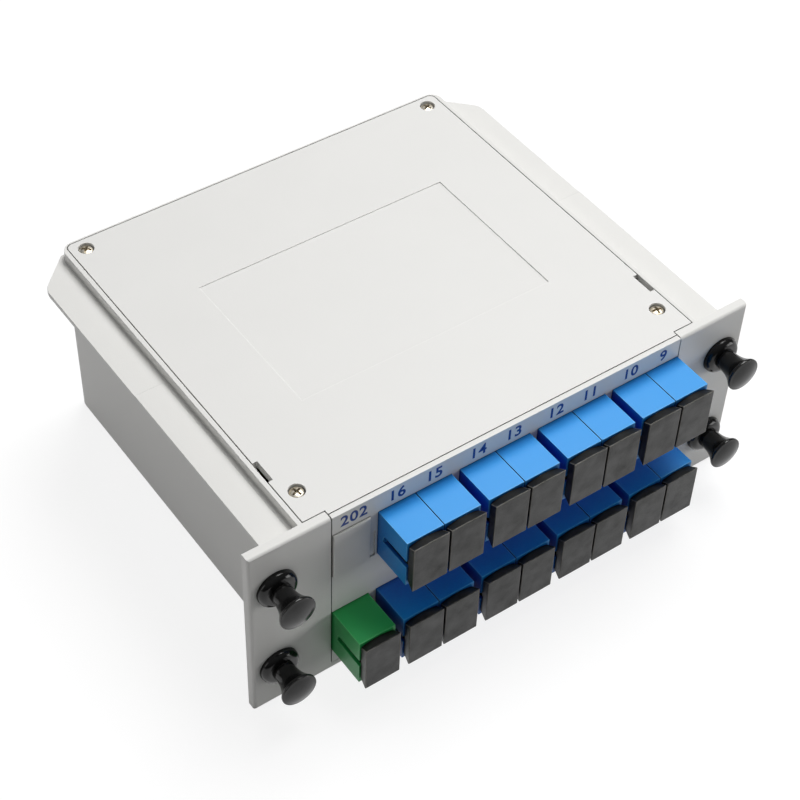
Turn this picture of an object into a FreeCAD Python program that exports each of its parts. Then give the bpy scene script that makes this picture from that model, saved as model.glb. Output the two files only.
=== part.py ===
"""Two-slot plug-in fibre splitter cassette, one input and sixteen outputs.

A moulded tray lies on its floor with its screwed cover facing up.  Its two ears
carry push-pull latches, and the front panel between them carries one angled
input adapter, sixteen output adapters and a blank plate.  Inside are the
splitter module, its fibre coil and the connectors behind each adapter.

Frame: millimetres, +Z up, the cassette pushed into its rack along +Y.
The origin is the centre of the tray's underside.
"""
import FreeCAD
import Part

import math
import os
import re

import Sketcher

doc = FreeCAD.newDocument("plc_fibre_splitter")
dims = doc.addObject("Spreadsheet::Sheet", "dims")

# ----------------------------------------------------------------- sizes, mm
SIZES = {
    # the box as a whole
    "box_depth": 100.0,             # ear front to rear wall
    "box_rise": 50.0,               # floor to cover
    "ear_reach": 13.0,              # each ear's tip beyond the tray's side
    "ear_root": 6.4,                # tray's side to the front opening
    "ear_thickness": 2.4,
    "ear_rounding": 0.8,
    "side_wall": 2.5,
    "rear_wall": 2.5,
    "floor_thickness": 2.0,
    "rear_corner": 3.0,             # outer corner radius of the tray
    "bottom_rounding": 1.2,
    # cover and its rebate
    "cover_thickness": 2.0,
    "cover_seam": 0.2,              # gap all round the cover
    "rim_width": 1.3,               # top rim beside the cover
    "rear_lip": 0.45,               # rim behind the cover
    "cover_corner": 1.5,
    "label_width": 65.5,
    "label_length": 41.1,
    "label_depth": 0.25,
    "label_front": 30.2,            # ear front to the label recess
    "pry_slot_width": 1.15,
    "pry_slot_length": 5.9,
    "pry_slot_front": 15.1,
    "pry_pocket_depth": 2.5,        # pocket under each slot, in the tray's wall
    # cover screws and their posts
    "screw_inset": 4.8,             # tray's side to the screws
    "screw_front": 10.0,            # ear front to the front screws
    "screw_back": 3.7,              # rear wall's outside to the rear screws
    "post_radius": 2.6,             # half of each post's width
    "post_clearance": 0.05,         # front posts to the outer adapters
    "screw_shank_radius": 1.0,
    "screw_shank_length": 7.0,
    "screw_head_radius": 1.65,
    "screw_head_rise": 1.0,
    "counterbore_radius": 1.85,
    "counterbore_depth": 1.15,
    "screw_thread_fit": 0.05,       # shank in its post
    "screw_cover_fit": 0.15,        # shank in the cover
    # guide wings on the tray's sides
    "wing_reach": 8.0,              # beyond the tray's side
    "wing_drop": 2.5,               # cover's top to the wings' top
    "wing_thickness": 1.3,
    "wing_rear_gap": 0.2,           # wings end this far before the rear wall's outside
    "wing_corner": 4.0,
    "wing_step_rise": 0.15,              # the front stretch stands this much higher
    "wing_step_length": 52.5,
    "wing_step_inset": 1.0,
    # front panel
    "panel_strip": 1.3,             # thickness of the strip beside the cover
    "panel_strip_overlap": 1.0,     # how far the strip reaches down the flange
    "panel_flange": 1.2,            # flange that hooks behind the ears
    "panel_hook": 3.1,              # how far it reaches behind each ear
    "panel_side_gap": 0.2,
    "panel_back_gap": 0.1,          # flange to its rib
    "panel_top_gap": 0.1,           # flange to the cover
    "panel_floor_gap": 0.05,
    "panel_ear_gap": 0.02,
    "panel_rib": 1.2,               # rib behind the flange
    "panel_rib_overlap": 0.6,       # rib over the flange's edge
    # adapters
    "adapter_width": 9.05,
    "adapter_gap": 0.2,             # between the two of a pair
    "pair_gap": 2.1,                # from one pair to the next
    "input_gap": 2.05,              # input adapter to the nearest pair
    "side_margin": 0.3,             # outer adapters to the ears
    "adapter_rise": 13.2,
    "adapter_length": 28.0,
    "adapter_proud": 10.0,          # in front of the panel
    "adapter_collar": 0.9,
    "adapter_collar_length": 1.6,
    "adapter_collar_gap": 0.05,
    "adapter_fit": 0.05,            # round each adapter in its cut-out
    "lower_row": 13.0,              # underside to the lower row's axes
    "upper_drop": 12.0,             # cover's top to the upper row's axes
    "socket_width": 7.5,
    "socket_rise": 9.1,
    "mid_wall": 1.6,
    "key_slot_width": 1.9,
    "key_slot_length": 8.0,
    "key_slot_overlap": 0.2,        # how far the key slot cuts into the socket
    "mouth_relief": 0.6,            # depth of the arch in the mouth's edge
    "holder_radius": 2.3,           # holder of the alignment sleeve
    "holder_bore_radius": 1.67,
    "holder_length": 13.0,
    "sleeve_radius": 1.62,
    "sleeve_bore_radius": 1.27,
    "sleeve_length": 11.4,
    # dust caps
    "cap_width": 8.85,
    "cap_rise": 13.1,
    "cap_thickness": 2.25,
    "cap_standoff": 0.05,
    "cap_bevel": 0.35,
    "cap_stem_width": 7.0,
    "cap_stem_rise": 6.2,
    "cap_stem_length": 6.5,
    "cap_bore_radius": 2.7,
    # blank plate
    "blank_proud": 0.5,
    "blank_rounding": 0.3,
    "blank_wall": 1.2,
    "blank_face": 2.0,
    "blank_catch_width": 4.0,
    "blank_catch_rise": 0.6,
    "blank_catch_length": 0.75,
    "blank_catch_gap": 0.05,
    "relief_width": 1.5,            # shallow relief beside the blank plate
    "relief_rise": 8.0,
    "relief_depth": 0.35,
    # push-pull latches
    "latch_inset": 6.2,             # ear tip to the latches' axes
    "latch_rise": 12.0,             # axes above the underside and below the top
    "latch_clearance": 0.05,
    "collar_radius": 4.6,
    "collar_rise": 2.0,
    "collar_edge": 1.1,             # rise of the collar's straight edge
    "collar_crown": 0.9,            # width of the collar's slope
    "grommet_radius": 3.15,
    "grommet_bore_radius": 1.85,
    "grommet_reach": 9.0,           # behind the ear's front face
    "grommet_lead": 1.4,            # length of the taper at its tip
    "grommet_tip_radius": 2.75,
    "grommet_slot": 0.8,
    "grommet_band": 2.6,            # unslotted length behind the ear
    "cavity_radius": 2.35,
    "cavity_start": 2.8,
    "cavity_slope": 0.4,
    "bulb_radius": 2.2,
    "bulb_start": 7.7,
    "bulb_slope": 0.6,
    "knob_radius": 4.15,
    "knob_crown_radius": 2.6,
    "knob_waist": 2.5,
    "knob_rise": 8.9,               # crown of the knob in front of the ear
    "knob_slope": 0.75,             # rise of the convex face
    "knob_edge": 0.4,               # the rim's straight edge
    "knob_flare": 4.7,              # length of the horn from the waist to the rim
    # fibre connectors behind the adapters
    "plug_width": 7.2,
    "plug_rise": 8.8,
    "plug_length": 22.0,
    "plug_gap": 0.3,                # plug to the adapter's middle wall
    "plug_hollow_gap": 0.3,         # round the sleeve holder
    "plug_hollow_end": 0.5,         # beyond the holder's end
    "plug_overlap": 0.5,            # ferrule and boot into the plug
    "ferrule_radius": 1.245,
    "boot_length": 14.0,
    "boot_radius": 2.4,
    "boot_tip_radius": 1.3,
    # splitter module, its clips and the fibre coil
    "module_length": 60.0,
    "module_width": 12.0,
    "module_rise": 4.0,
    "clip_length": 6.0,
    "clip_inset": 6.0,              # module's end to the middle of its clip
    "clip_wall": 1.2,
    "clip_fit": 0.05,
    "coil_side_gap": 5.25,          # coil to the tray's side walls
    "coil_rear_gap": 1.25,          # coil to the rear wall
    "coil_depth": 44.0,             # over the middle of the bundle
    "coil_section": 4.5,
    "coil_bend": 20.0,
    # how far a cutting shape runs past the solid that it cuts, and how far a
    # joined shape sinks into the solid that carries it
    "past": 1.0,
    "sunk": 0.5,
}
# Sides of the small turned parts that every port repeats, inside the box.
PORT_SIDES = 8

ALIASES = set(SIZES)
TINY = 1e-4
for row, (alias, size) in enumerate(SIZES.items(), start=1):
    dims.set("A%d" % row, alias)
    dims.set("B%d" % row, str(size))
    dims.setAlias("B%d" % row, alias)
doc.recompute()


# ------------------------------------------------------- formulas on the sheet
def formula(text):
    """The expression with each of the sheet's aliases given its sheet."""
    def with_sheet(match):
        word = match.group(0)
        return "dims." + word if word in ALIASES else word
    return re.sub(r"[A-Za-z_][A-Za-z_0-9]*", with_sheet, str(text))


def number(text):
    """The value of an expression now."""
    value = dims.evalExpression(formula(text))
    return float(getattr(value, "Value", value))


def bind(thing, prop, text):
    """Tie a property to the sheet."""
    thing.setExpression(prop, formula(text))


def middle(low, high):
    return "((%s) + (%s)) / 2" % (low, high)


def between(low, high):
    return "((%s) - (%s))" % (high, low)


def behind(text):
    """A Y place, given as a depth behind the ears' front face."""
    return "(%s - box_depth / 2)" % text


# ------------------------------------------------------------ sketches, bodies
SUBPARTS = []
PLANE_SIGN = {"XY_Plane": "", "XZ_Plane": "-"}


def new_body(node):
    body = doc.addObject("PartDesign::Body", node)
    body.Label = node
    SUBPARTS.append(body)
    return body


def new_sketch(body, name, plane="XY_Plane", level="0"):
    """A sketch on an origin plane of the body, lifted to a level along its axis."""
    sketch = body.newObject("Sketcher::SketchObject", body.Name + "_" + name)
    support = [each for each in body.Origin.OriginFeatures if each.Role == plane]
    sketch.AttachmentSupport = [(support[0], "")]
    sketch.MapMode = "FlatFace"
    bind(sketch, "AttachmentOffset.Base.z", PLANE_SIGN[plane] + "(%s)" % level)
    return sketch


def pin_point(sketch, geometry, position, x_text, y_text):
    """Tie one point of a sketch to two formulas."""
    for kind, text in (("DistanceX", x_text), ("DistanceY", y_text)):
        index = sketch.addConstraint(Sketcher.Constraint(kind, geometry, position, number(text)))
        bind(sketch, "Constraints[%d]" % index, text)


def draw_circle(sketch, x_text, y_text, radius_text):
    centre = FreeCAD.Vector(number(x_text), number(y_text), 0)
    circle = Part.Circle(centre, FreeCAD.Vector(0, 0, 1), number(radius_text))
    geometry = sketch.addGeometry(circle)
    pin_point(sketch, geometry, 3, x_text, y_text)
    index = sketch.addConstraint(Sketcher.Constraint("Radius", geometry, number(radius_text)))
    bind(sketch, "Constraints[%d]" % index, radius_text)


def draw_polygon(sketch, corners, rounds=None):
    """A closed outline; rounds gives a radius formula for the corners it names."""
    rounds = rounds or {}
    count = len(corners)
    places = [FreeCAD.Vector(number(x), number(y), 0) for x, y in corners]
    starts = list(places)
    ends = list(places)
    for i, radius_text in rounds.items():
        to_last = (places[i - 1] - places[i]).normalize()
        to_next = (places[(i + 1) % count] - places[i]).normalize()
        half = to_last.getAngle(to_next) / 2
        run = number(radius_text) / math.tan(half)
        ends[i] = places[i] + to_last * run
        starts[i] = places[i] + to_next * run
    lines = []
    for i in range(count):
        after = (i + 1) % count
        lines.append(sketch.addGeometry(Part.LineSegment(starts[i], ends[after])))
    for i, (x_text, y_text) in enumerate(corners):
        before = lines[i - 1]
        if i not in rounds:
            sketch.addConstraint(Sketcher.Constraint("Coincident", before, 2, lines[i], 1))
            pin_point(sketch, lines[i], 1, x_text, y_text)
            continue
        radius = number(rounds[i])
        bisector = (ends[i] + starts[i]) * 0.5 - places[i]
        half = (starts[i] - ends[i]).Length / 2
        reach = bisector.Length + math.sqrt(radius ** 2 - half ** 2)
        centre = places[i] + bisector.normalize() * reach
        through = centre + (places[i] - centre).normalize() * radius
        arc = sketch.addGeometry(Part.Arc(ends[i], through, starts[i]))
        turned = sketch.Geometry[arc].StartPoint.distanceToPoint(ends[i]) > 1e-6
        first, last = (2, 1) if turned else (1, 2)
        sketch.addConstraint(Sketcher.Constraint("Tangent", before, 2, arc, first))
        sketch.addConstraint(Sketcher.Constraint("Tangent", arc, last, lines[i], 1))
        index = sketch.addConstraint(Sketcher.Constraint("Radius", arc, radius))
        bind(sketch, "Constraints[%d]" % index, rounds[i])
        corner = sketch.addGeometry(Part.Point(places[i]), True)
        sketch.addConstraint(Sketcher.Constraint("PointOnObject", corner, 1, before))
        sketch.addConstraint(Sketcher.Constraint("PointOnObject", corner, 1, lines[i]))
        pin_point(sketch, corner, 1, x_text, y_text)


def draw_rectangle(sketch, left, right, low, high, radius=None, rounded=(0, 1, 2, 3)):
    corners = [(left, low), (right, low), (right, high), (left, high)]
    rounds = {i: radius for i in rounded} if radius else None
    draw_polygon(sketch, corners, rounds)


def draw_port_round(sketch, radius):
    """The outline of a small turned part, drawn with few sides."""
    corners = []
    for side in range(PORT_SIDES):
        angle = 2 * math.pi * side / PORT_SIDES
        corners.append(("%.6f * %s" % (math.cos(angle), radius), "%.6f * %s" % (math.sin(angle), radius)))
    draw_polygon(sketch, corners)


def extrude(body, kind, sketch, length):
    """A Pad or Pocket, half of its length each side of the sketch."""
    feature = body.newObject("PartDesign::" + kind, sketch.Name + "_" + kind.lower())
    feature.Profile = sketch
    feature.SideType = "Symmetric"
    bind(feature, "Length", length)
    sketch.Visibility = False
    return feature


def add_prism(body, name, low, high, draw, plane="XY_Plane"):
    sketch = new_sketch(body, name, plane, middle(low, high))
    draw(sketch)
    return extrude(body, "Pad", sketch, between(low, high))


def cut_prism(body, name, low, high, draw, plane="XY_Plane"):
    sketch = new_sketch(body, name, plane, middle(low, high))
    draw(sketch)
    return extrude(body, "Pocket", sketch, between(low, high))


def revolve(body, name, draw):
    """A Revolution about the body's own Y axis, drawn in its XY plane."""
    sketch = new_sketch(body, name)
    draw(sketch)
    feature = body.newObject("PartDesign::Revolution", sketch.Name + "_revolution")
    feature.Profile = sketch
    feature.ReferenceAxis = (sketch, ["V_Axis"])
    feature.Angle = 360.0
    sketch.Visibility = False


def round_edges(body, name, radius, wanted, kind="Fillet"):
    """Round or chamfer the edges of the body so far that wanted(edge) picks."""
    doc.recompute()
    base = body.Tip
    picked = []
    for index, edge in enumerate(base.Shape.Edges, start=1):
        if wanted(edge):
            picked.append("Edge%d" % index)
    feature = body.newObject("PartDesign::" + kind, body.Name + "_" + name)
    feature.Base = (base, picked)
    bind(feature, "Radius" if kind == "Fillet" else "Size", radius)
    return feature


def place(thing, x_text, y_text, z_text):
    bind(thing, "Placement.Base.x", x_text)
    bind(thing, "Placement.Base.y", y_text)
    bind(thing, "Placement.Base.z", z_text)


# ---------------------------------------------------- solids from Part shapes
def block(name, left, right, near, far, low, high):
    box = doc.addObject("Part::Box", name)
    bind(box, "Length", between(left, right))
    bind(box, "Width", between(near, far))
    bind(box, "Height", between(low, high))
    place(box, left, near, low)
    return box


def along_y(shape, x_text, near, z_text):
    """Turn a shape made along +Z to lie along +Y, and place it."""
    turned = FreeCAD.Rotation(FreeCAD.Vector(1, 0, 0), -90)
    shape.Placement = FreeCAD.Placement(FreeCAD.Vector(0, 0, 0), turned)
    place(shape, x_text, near, z_text)
    return shape


def port_rod(name, x_text, near, far, z_text, radius):
    """A small turned rod along +Y, drawn with few sides."""
    shape = doc.addObject("Part::Prism", name)
    shape.Polygon = PORT_SIDES
    bind(shape, "Circumradius", radius)
    bind(shape, "Height", between(near, far))
    return along_y(shape, x_text, near, z_text)


def port_taper(name, x_text, near, far, z_text, near_radius, far_radius):
    """A small tapered rod along +Y, drawn with few sides."""
    ends = []
    for end, y_text, radius in (("near", near, near_radius), ("far", far, far_radius)):
        outline = doc.addObject("Part::RegularPolygon", name + "_" + end)
        outline.Polygon = PORT_SIDES
        bind(outline, "Circumradius", radius)
        ends.append(along_y(outline, x_text, y_text, z_text))
    loft = doc.addObject("Part::Loft", name)
    loft.Sections = ends
    loft.Solid = True
    loft.Ruled = True
    return loft


def upright(name, x_text, y_text, low, high, radius):
    """A cylinder along +Z."""
    shape = doc.addObject("Part::Cylinder", name)
    bind(shape, "Height", between(low, high))
    bind(shape, "Radius", radius)
    place(shape, x_text, y_text, low)
    return shape


def fuse(name, shapes):
    joined = doc.addObject("Part::MultiFuse", name)
    joined.Shapes = shapes
    return joined


def cut(name, base, tool):
    left_over = doc.addObject("Part::Cut", name)
    left_over.Base = base
    left_over.Tool = tool
    return left_over


def group(node, shapes):
    """Several separate solids that share one node."""
    bundle = doc.addObject("Part::Compound", node)
    bundle.Links = shapes
    bundle.Label = node
    SUBPARTS.append(bundle)
    return bundle


# ------------------------------------------------------------- shared formulas
PORTS = 16
PORTS_IN_ROW = PORTS // 2
PAIRS = PORTS_IN_ROW // 2

FRONT = behind("0")
REAR = behind("box_depth")
PAIR_WIDTH = "(2 * adapter_width + adapter_gap)"
HALF_OPENING = "((2 * side_margin + adapter_width + input_gap + %d * %s + %d * pair_gap) / 2)" % (
    PAIRS, PAIR_WIDTH, PAIRS - 1)
HALF_TRAY = "(%s + ear_root)" % HALF_OPENING
HALF_SPAN = "(%s + ear_reach)" % HALF_TRAY
HALF_CAVITY = "(%s - side_wall)" % HALF_TRAY
HALF_COVER = "(%s - rim_width)" % HALF_TRAY
HALF_FLANGE = "(%s + panel_hook)" % HALF_OPENING
HALF_WINGS = "(%s + wing_reach)" % HALF_TRAY
WING_TOP = "(box_rise - wing_drop)"
LEDGE = "(box_rise - cover_thickness)"
EAR_BACK = behind("ear_thickness")
PANEL_BACK = "(ear_thickness + panel_flange)"
MOUTH = "(0 - adapter_proud)"
HALF_ADAPTER = "(adapter_width / 2)"
HALF_RISE = "(adapter_rise / 2)"
ADAPTER_MIDDLE = "(adapter_length / 2 - adapter_proud)"
HOLDER_NEAR = "(%s - holder_length / 2)" % ADAPTER_MIDDLE
HOLDER_FAR = "(%s + holder_length / 2)" % ADAPTER_MIDDLE
FIRST_PAIR = "(%s - side_margin - %s / 2)" % (HALF_OPENING, PAIR_WIDTH)
PAIR_PITCH = "(%s + pair_gap)" % PAIR_WIDTH
INPUT_X = "(side_margin + %s - %s)" % (HALF_ADAPTER, HALF_OPENING)
MODULE_BACK = "(box_depth - rear_wall - coil_rear_gap - coil_section / 2 - coil_depth / 2)"
ROWS = {"lower": "lower_row", "upper": "(box_rise - upper_drop)"}
LATCH_ROWS = {"lower": "latch_rise", "upper": "(box_rise - latch_rise)"}
SIDES = {"left": "-", "right": ""}


def port_place(port):
    """X and Z formulas of an output adapter; each row counts from right to left."""
    row = "lower" if port <= PORTS_IN_ROW else "upper"
    pair, second = divmod((port - 1) % PORTS_IN_ROW, 2)
    side = "-" if second else "+"
    x_text = "(%s - %d * %s %s (adapter_width + adapter_gap) / 2)" % (
        FIRST_PAIR, pair, PAIR_PITCH, side)
    return x_text, ROWS[row]


PLACES = {"%02d" % port: port_place(port) for port in range(1, PORTS + 1)}
PLACES["in"] = (INPUT_X, ROWS["lower"])
LATCHES = {}
for side_name, side_sign in SIDES.items():
    for row_name, latch_z in LATCH_ROWS.items():
        LATCHES[side_name + "_" + row_name] = (
            "(%s1 * (%s - latch_inset))" % (side_sign, HALF_SPAN), latch_z)
# inner corners of a knob's horn: shares of its widening and of its length from the waist
HORN_CORNERS = ((0.12, 0.36), (0.46, 0.70))
SCREW_PLACES = [("(%s1 * (%s - screw_inset))" % (side_sign, HALF_TRAY), behind(depth))
                for side_sign in SIDES.values()
                for depth in ("screw_front", "(box_depth - screw_back)")]


# --------------------------------------------------------------------- housing
def make_housing():
    """The moulded tray with its ears, wings, posts and the ribs behind the front panel."""
    body = new_body("housing")
    add_prism(body, "block", "0", "box_rise", lambda s: draw_rectangle(
        s, "-" + HALF_TRAY, HALF_TRAY, FRONT, REAR, "rear_corner", (2, 3)))
    add_prism(body, "ears", "0", "box_rise", lambda s: draw_rectangle(
        s, "-" + HALF_SPAN, HALF_SPAN, FRONT, EAR_BACK))
    wing_low = WING_TOP + " - wing_thickness"
    add_prism(body, "wings", wing_low, WING_TOP, draw_wings)
    for name, sign in SIDES.items():
        add_prism(body, name + "_step", wing_low, WING_TOP + " + wing_step_rise",
                  lambda s: draw_side_strip(s, sign, HALF_TRAY + " + wing_step_inset",
                                            HALF_WINGS, EAR_BACK, behind("wing_step_length")))
    cut_prism(body, "cavity", "floor_thickness", "box_rise + past", lambda s: draw_rectangle(
        s, "-" + HALF_CAVITY, HALF_CAVITY, EAR_BACK, behind("(box_depth - rear_wall)")))
    cut_prism(body, "front_gap", "floor_thickness", "box_rise + past", lambda s: draw_rectangle(
        s, "-" + HALF_OPENING, HALF_OPENING, behind("(0 - past)"), behind("(ear_thickness + past)")))
    half_rebate = "(%s + cover_seam)" % HALF_COVER
    cut_prism(body, "rebate", LEDGE, "box_rise + past", lambda s: draw_rectangle(
        s, "-" + half_rebate, half_rebate, EAR_BACK, behind("(box_depth - rear_lip)"),
        "cover_corner", (2, 3)))
    for name, sign in SIDES.items():
        add_prism(body, name + "_posts", "floor_thickness - sunk", LEDGE,
                  lambda s: draw_posts(s, sign))
        cut_prism(body, name + "_pry_pocket", LEDGE + " - pry_pocket_depth", LEDGE + " + past",
                  lambda s: draw_pry_slot(s, sign, HALF_CAVITY + " - past", half_rebate))
    cut_prism(body, "screw_holes", LEDGE + " - screw_shank_length", "box_rise",
              lambda s: draw_screws(s, "screw_shank_radius + screw_thread_fit"))
    cut_prism(body, "latch_holes", behind("(0 - past)"), behind("(ear_thickness + past)"),
              draw_latch_holes, "XZ_Plane")
    round_edges(body, "ear_rounds", "ear_rounding", is_ear_edge)
    round_edges(body, "bottom_rounds", "bottom_rounding", is_bottom_edge)


def draw_wings(sketch):
    """Both wings in one outline, chamfered back to the tray's sides at the rear."""
    rear = behind("(box_depth - wing_rear_gap)")
    turn = behind("(box_depth - wing_rear_gap - wing_reach)")
    draw_polygon(sketch, [
        ("-" + HALF_WINGS, EAR_BACK), (HALF_WINGS, EAR_BACK), (HALF_WINGS, turn),
        (HALF_TRAY, rear), ("-" + HALF_TRAY, rear), ("-" + HALF_WINGS, turn)],
        {2: "wing_corner", 5: "wing_corner"})


def draw_side_strip(sketch, sign, inner, outer, near, far):
    """A strip on one side of the box; sign is - on the left."""
    if sign:
        draw_rectangle(sketch, "-(%s)" % outer, "-(%s)" % inner, near, far)
    else:
        draw_rectangle(sketch, inner, outer, near, far)


def draw_posts(sketch, sign):
    """One side's screw posts, grown from its wall, and the rib behind the front panel."""
    wall = HALF_CAVITY + " + sunk"
    screw_x = "(%s - screw_inset)" % HALF_TRAY
    draw_side_strip(sketch, sign, HALF_OPENING + " + post_clearance", wall,
                    behind("(screw_front - post_radius)"), behind("(screw_front + post_radius)"))
    draw_side_strip(sketch, sign, screw_x + " - post_radius", wall,
                    behind("(box_depth - screw_back - post_radius)"),
                    behind("(box_depth - rear_wall + sunk)"))
    rib_near = "(%s + panel_back_gap)" % PANEL_BACK
    draw_side_strip(sketch, sign, HALF_FLANGE + " - panel_rib_overlap", wall,
                    behind(rib_near), behind(rib_near + " + panel_rib"))


def draw_pry_slot(sketch, sign, inner, outer):
    draw_side_strip(sketch, sign, inner, outer, behind("pry_slot_front"),
                    behind("(pry_slot_front + pry_slot_length)"))


def draw_screws(sketch, radius):
    for x_text, y_text in SCREW_PLACES:
        draw_circle(sketch, x_text, y_text, radius)


def draw_latch_holes(sketch):
    for x_text, z_text in LATCHES.values():
        draw_circle(sketch, x_text, z_text, "grommet_radius + latch_clearance")


def is_ear_edge(edge):
    """The front outline of each ear, apart from its end at the front panel."""
    box = edge.BoundBox
    if box.YMax - number(FRONT) > TINY or edge.Curve.TypeId != "Part::GeomLine":
        return False
    reach = max(abs(box.XMin), abs(box.XMax))
    return abs(reach - number(HALF_SPAN)) < TINY


def is_bottom_edge(edge):
    """The lower outline of the tray behind the ears."""
    box = edge.BoundBox
    if box.ZMax > TINY or box.YMin < number(EAR_BACK) - TINY:
        return False
    reach = max(abs(box.XMin), abs(box.XMax))
    on_side = abs(reach - number(HALF_TRAY)) < TINY
    return on_side or abs(box.YMax - number(REAR)) < TINY


# ----------------------------------------------------------------------- cover
def make_cover():
    """The large screwed lid, notched round both ears, with its label recess."""
    body = new_body("cover")
    shoulder = "(%s - cover_seam)" % HALF_OPENING
    near = behind("(panel_strip + cover_seam)")
    step = behind("(ear_thickness + cover_seam)")
    far = behind("(box_depth - rear_lip - cover_seam)")
    add_prism(body, "plate", LEDGE, "box_rise", lambda s: draw_polygon(s, [
        ("-" + shoulder, near), (shoulder, near), (shoulder, step), (HALF_COVER, step),
        (HALF_COVER, far), ("-" + HALF_COVER, far), ("-" + HALF_COVER, step),
        ("-" + shoulder, step)], {4: "cover_corner", 5: "cover_corner"}))
    cut_prism(body, "label_recess", "box_rise - label_depth", "box_rise + past",
              lambda s: draw_rectangle(s, "-label_width / 2", "label_width / 2",
                                       behind("label_front"), behind("(label_front + label_length)")))
    for name, sign in SIDES.items():
        cut_prism(body, name + "_pry_slot", LEDGE + " - past", "box_rise + past",
                  lambda s: draw_pry_slot(s, sign, HALF_COVER + " - pry_slot_width",
                                          HALF_COVER + " + past"))
    cut_prism(body, "counterbores", "box_rise - counterbore_depth", "box_rise + past",
              lambda s: draw_screws(s, "counterbore_radius"))
    cut_prism(body, "screw_holes", LEDGE + " - past", "box_rise + past",
              lambda s: draw_screws(s, "screw_shank_radius + screw_cover_fit"))


def make_cover_screws():
    """Four pan head screws, seated in the cover's counterbores."""
    screws = []
    seat = "(box_rise - counterbore_depth)"
    for index, (x_text, y_text) in enumerate(SCREW_PLACES, start=1):
        name = "screw_%d_" % index
        head = upright(name + "head", x_text, y_text, seat, seat + " + screw_head_rise",
                       "screw_head_radius")
        shank = upright(name + "shank", x_text, y_text, seat + " - screw_shank_length", seat,
                        "screw_shank_radius")
        screws.append(fuse(name + "whole", [head, shank]))
    group("cover_screws", screws)


# ----------------------------------------------------------------- front panel
def make_front_panel():
    """The panel between the ears: a flange hooked behind them and a thin strip on top."""
    body = new_body("front_panel")
    half_face = "(%s - panel_side_gap)" % HALF_OPENING
    under_cover = "(%s - panel_top_gap)" % LEDGE
    hook = behind("(ear_thickness + panel_ear_gap)")
    back = behind(PANEL_BACK)
    add_prism(body, "flange", "floor_thickness + panel_floor_gap", under_cover,
              lambda s: draw_polygon(s, [
                  ("-" + half_face, FRONT), (half_face, FRONT), (half_face, hook),
                  (HALF_FLANGE, hook), (HALF_FLANGE, back), ("-" + HALF_FLANGE, back),
                  ("-" + HALF_FLANGE, hook), ("-" + half_face, hook)]))
    add_prism(body, "top_strip", under_cover + " - panel_strip_overlap", "box_rise",
              lambda s: draw_rectangle(s, "-" + half_face, half_face, FRONT, behind("panel_strip")))
    for row, centre in ROWS.items():
        half_cut = HALF_RISE + " + adapter_fit"
        cut_prism(body, row + "_cut_outs", "%s - (%s)" % (centre, half_cut),
                  "%s + %s" % (centre, half_cut), draw_cut_outs)
    relief_low = "%s - %s - adapter_fit" % (ROWS["upper"], HALF_RISE)
    relief_left = "%s + %s + adapter_fit" % (INPUT_X, HALF_ADAPTER)
    cut_prism(body, "relief", relief_low, relief_low + " + relief_rise",
              lambda s: draw_rectangle(s, relief_left, relief_left + " + relief_width",
                                       behind("(0 - past)"), behind("relief_depth")))


def draw_cut_outs(sketch):
    """One wide opening for each pair and a single one at the left end."""
    near = behind("(0 - past)")
    far = behind("(%s + past)" % PANEL_BACK)
    draw_rectangle(sketch, "%s - %s - adapter_fit" % (INPUT_X, HALF_ADAPTER),
                   "%s + %s + adapter_fit" % (INPUT_X, HALF_ADAPTER), near, far)
    for pair in range(PAIRS):
        centre = "%s - %d * %s" % (FIRST_PAIR, pair, PAIR_PITCH)
        draw_rectangle(sketch, "%s - %s / 2 - adapter_fit" % (centre, PAIR_WIDTH),
                       "%s + %s / 2 + adapter_fit" % (centre, PAIR_WIDTH), near, far)


def make_blank_plate():
    """The hollow plate snapped into the opening above the input adapter."""
    body = new_body("blank_plate")
    low = "(%s - %s)" % (ROWS["upper"], HALF_RISE)
    high = "(%s + %s)" % (ROWS["upper"], HALF_RISE)
    left = "(%s - %s)" % (INPUT_X, HALF_ADAPTER)
    right = "(%s + %s)" % (INPUT_X, HALF_ADAPTER)
    catch_near = "(%s + blank_catch_gap)" % PANEL_BACK
    catch_far = "(%s + blank_catch_gap + blank_catch_length)" % PANEL_BACK
    add_prism(body, "face", low, high, lambda s: draw_rectangle(
        s, left, right, behind("(0 - blank_proud)"), behind(catch_far)))
    cut_prism(body, "hollow", low + " + blank_wall", high + " - blank_wall",
              lambda s: draw_rectangle(s, left + " + blank_wall", right + " - blank_wall",
                                       behind("(blank_face - blank_proud)"),
                                       behind("(%s + past)" % catch_far)))
    add_prism(body, "catch", high + " - blank_wall", high + " + blank_catch_rise",
              lambda s: draw_rectangle(s, INPUT_X + " - blank_catch_width / 2",
                                       INPUT_X + " + blank_catch_width / 2",
                                       behind(catch_near), behind(catch_far)))
    face = number(behind("(0 - blank_proud)"))
    round_edges(body, "face_rounds", "blank_rounding",
                lambda edge: edge.BoundBox.YMax - face < TINY)


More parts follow.
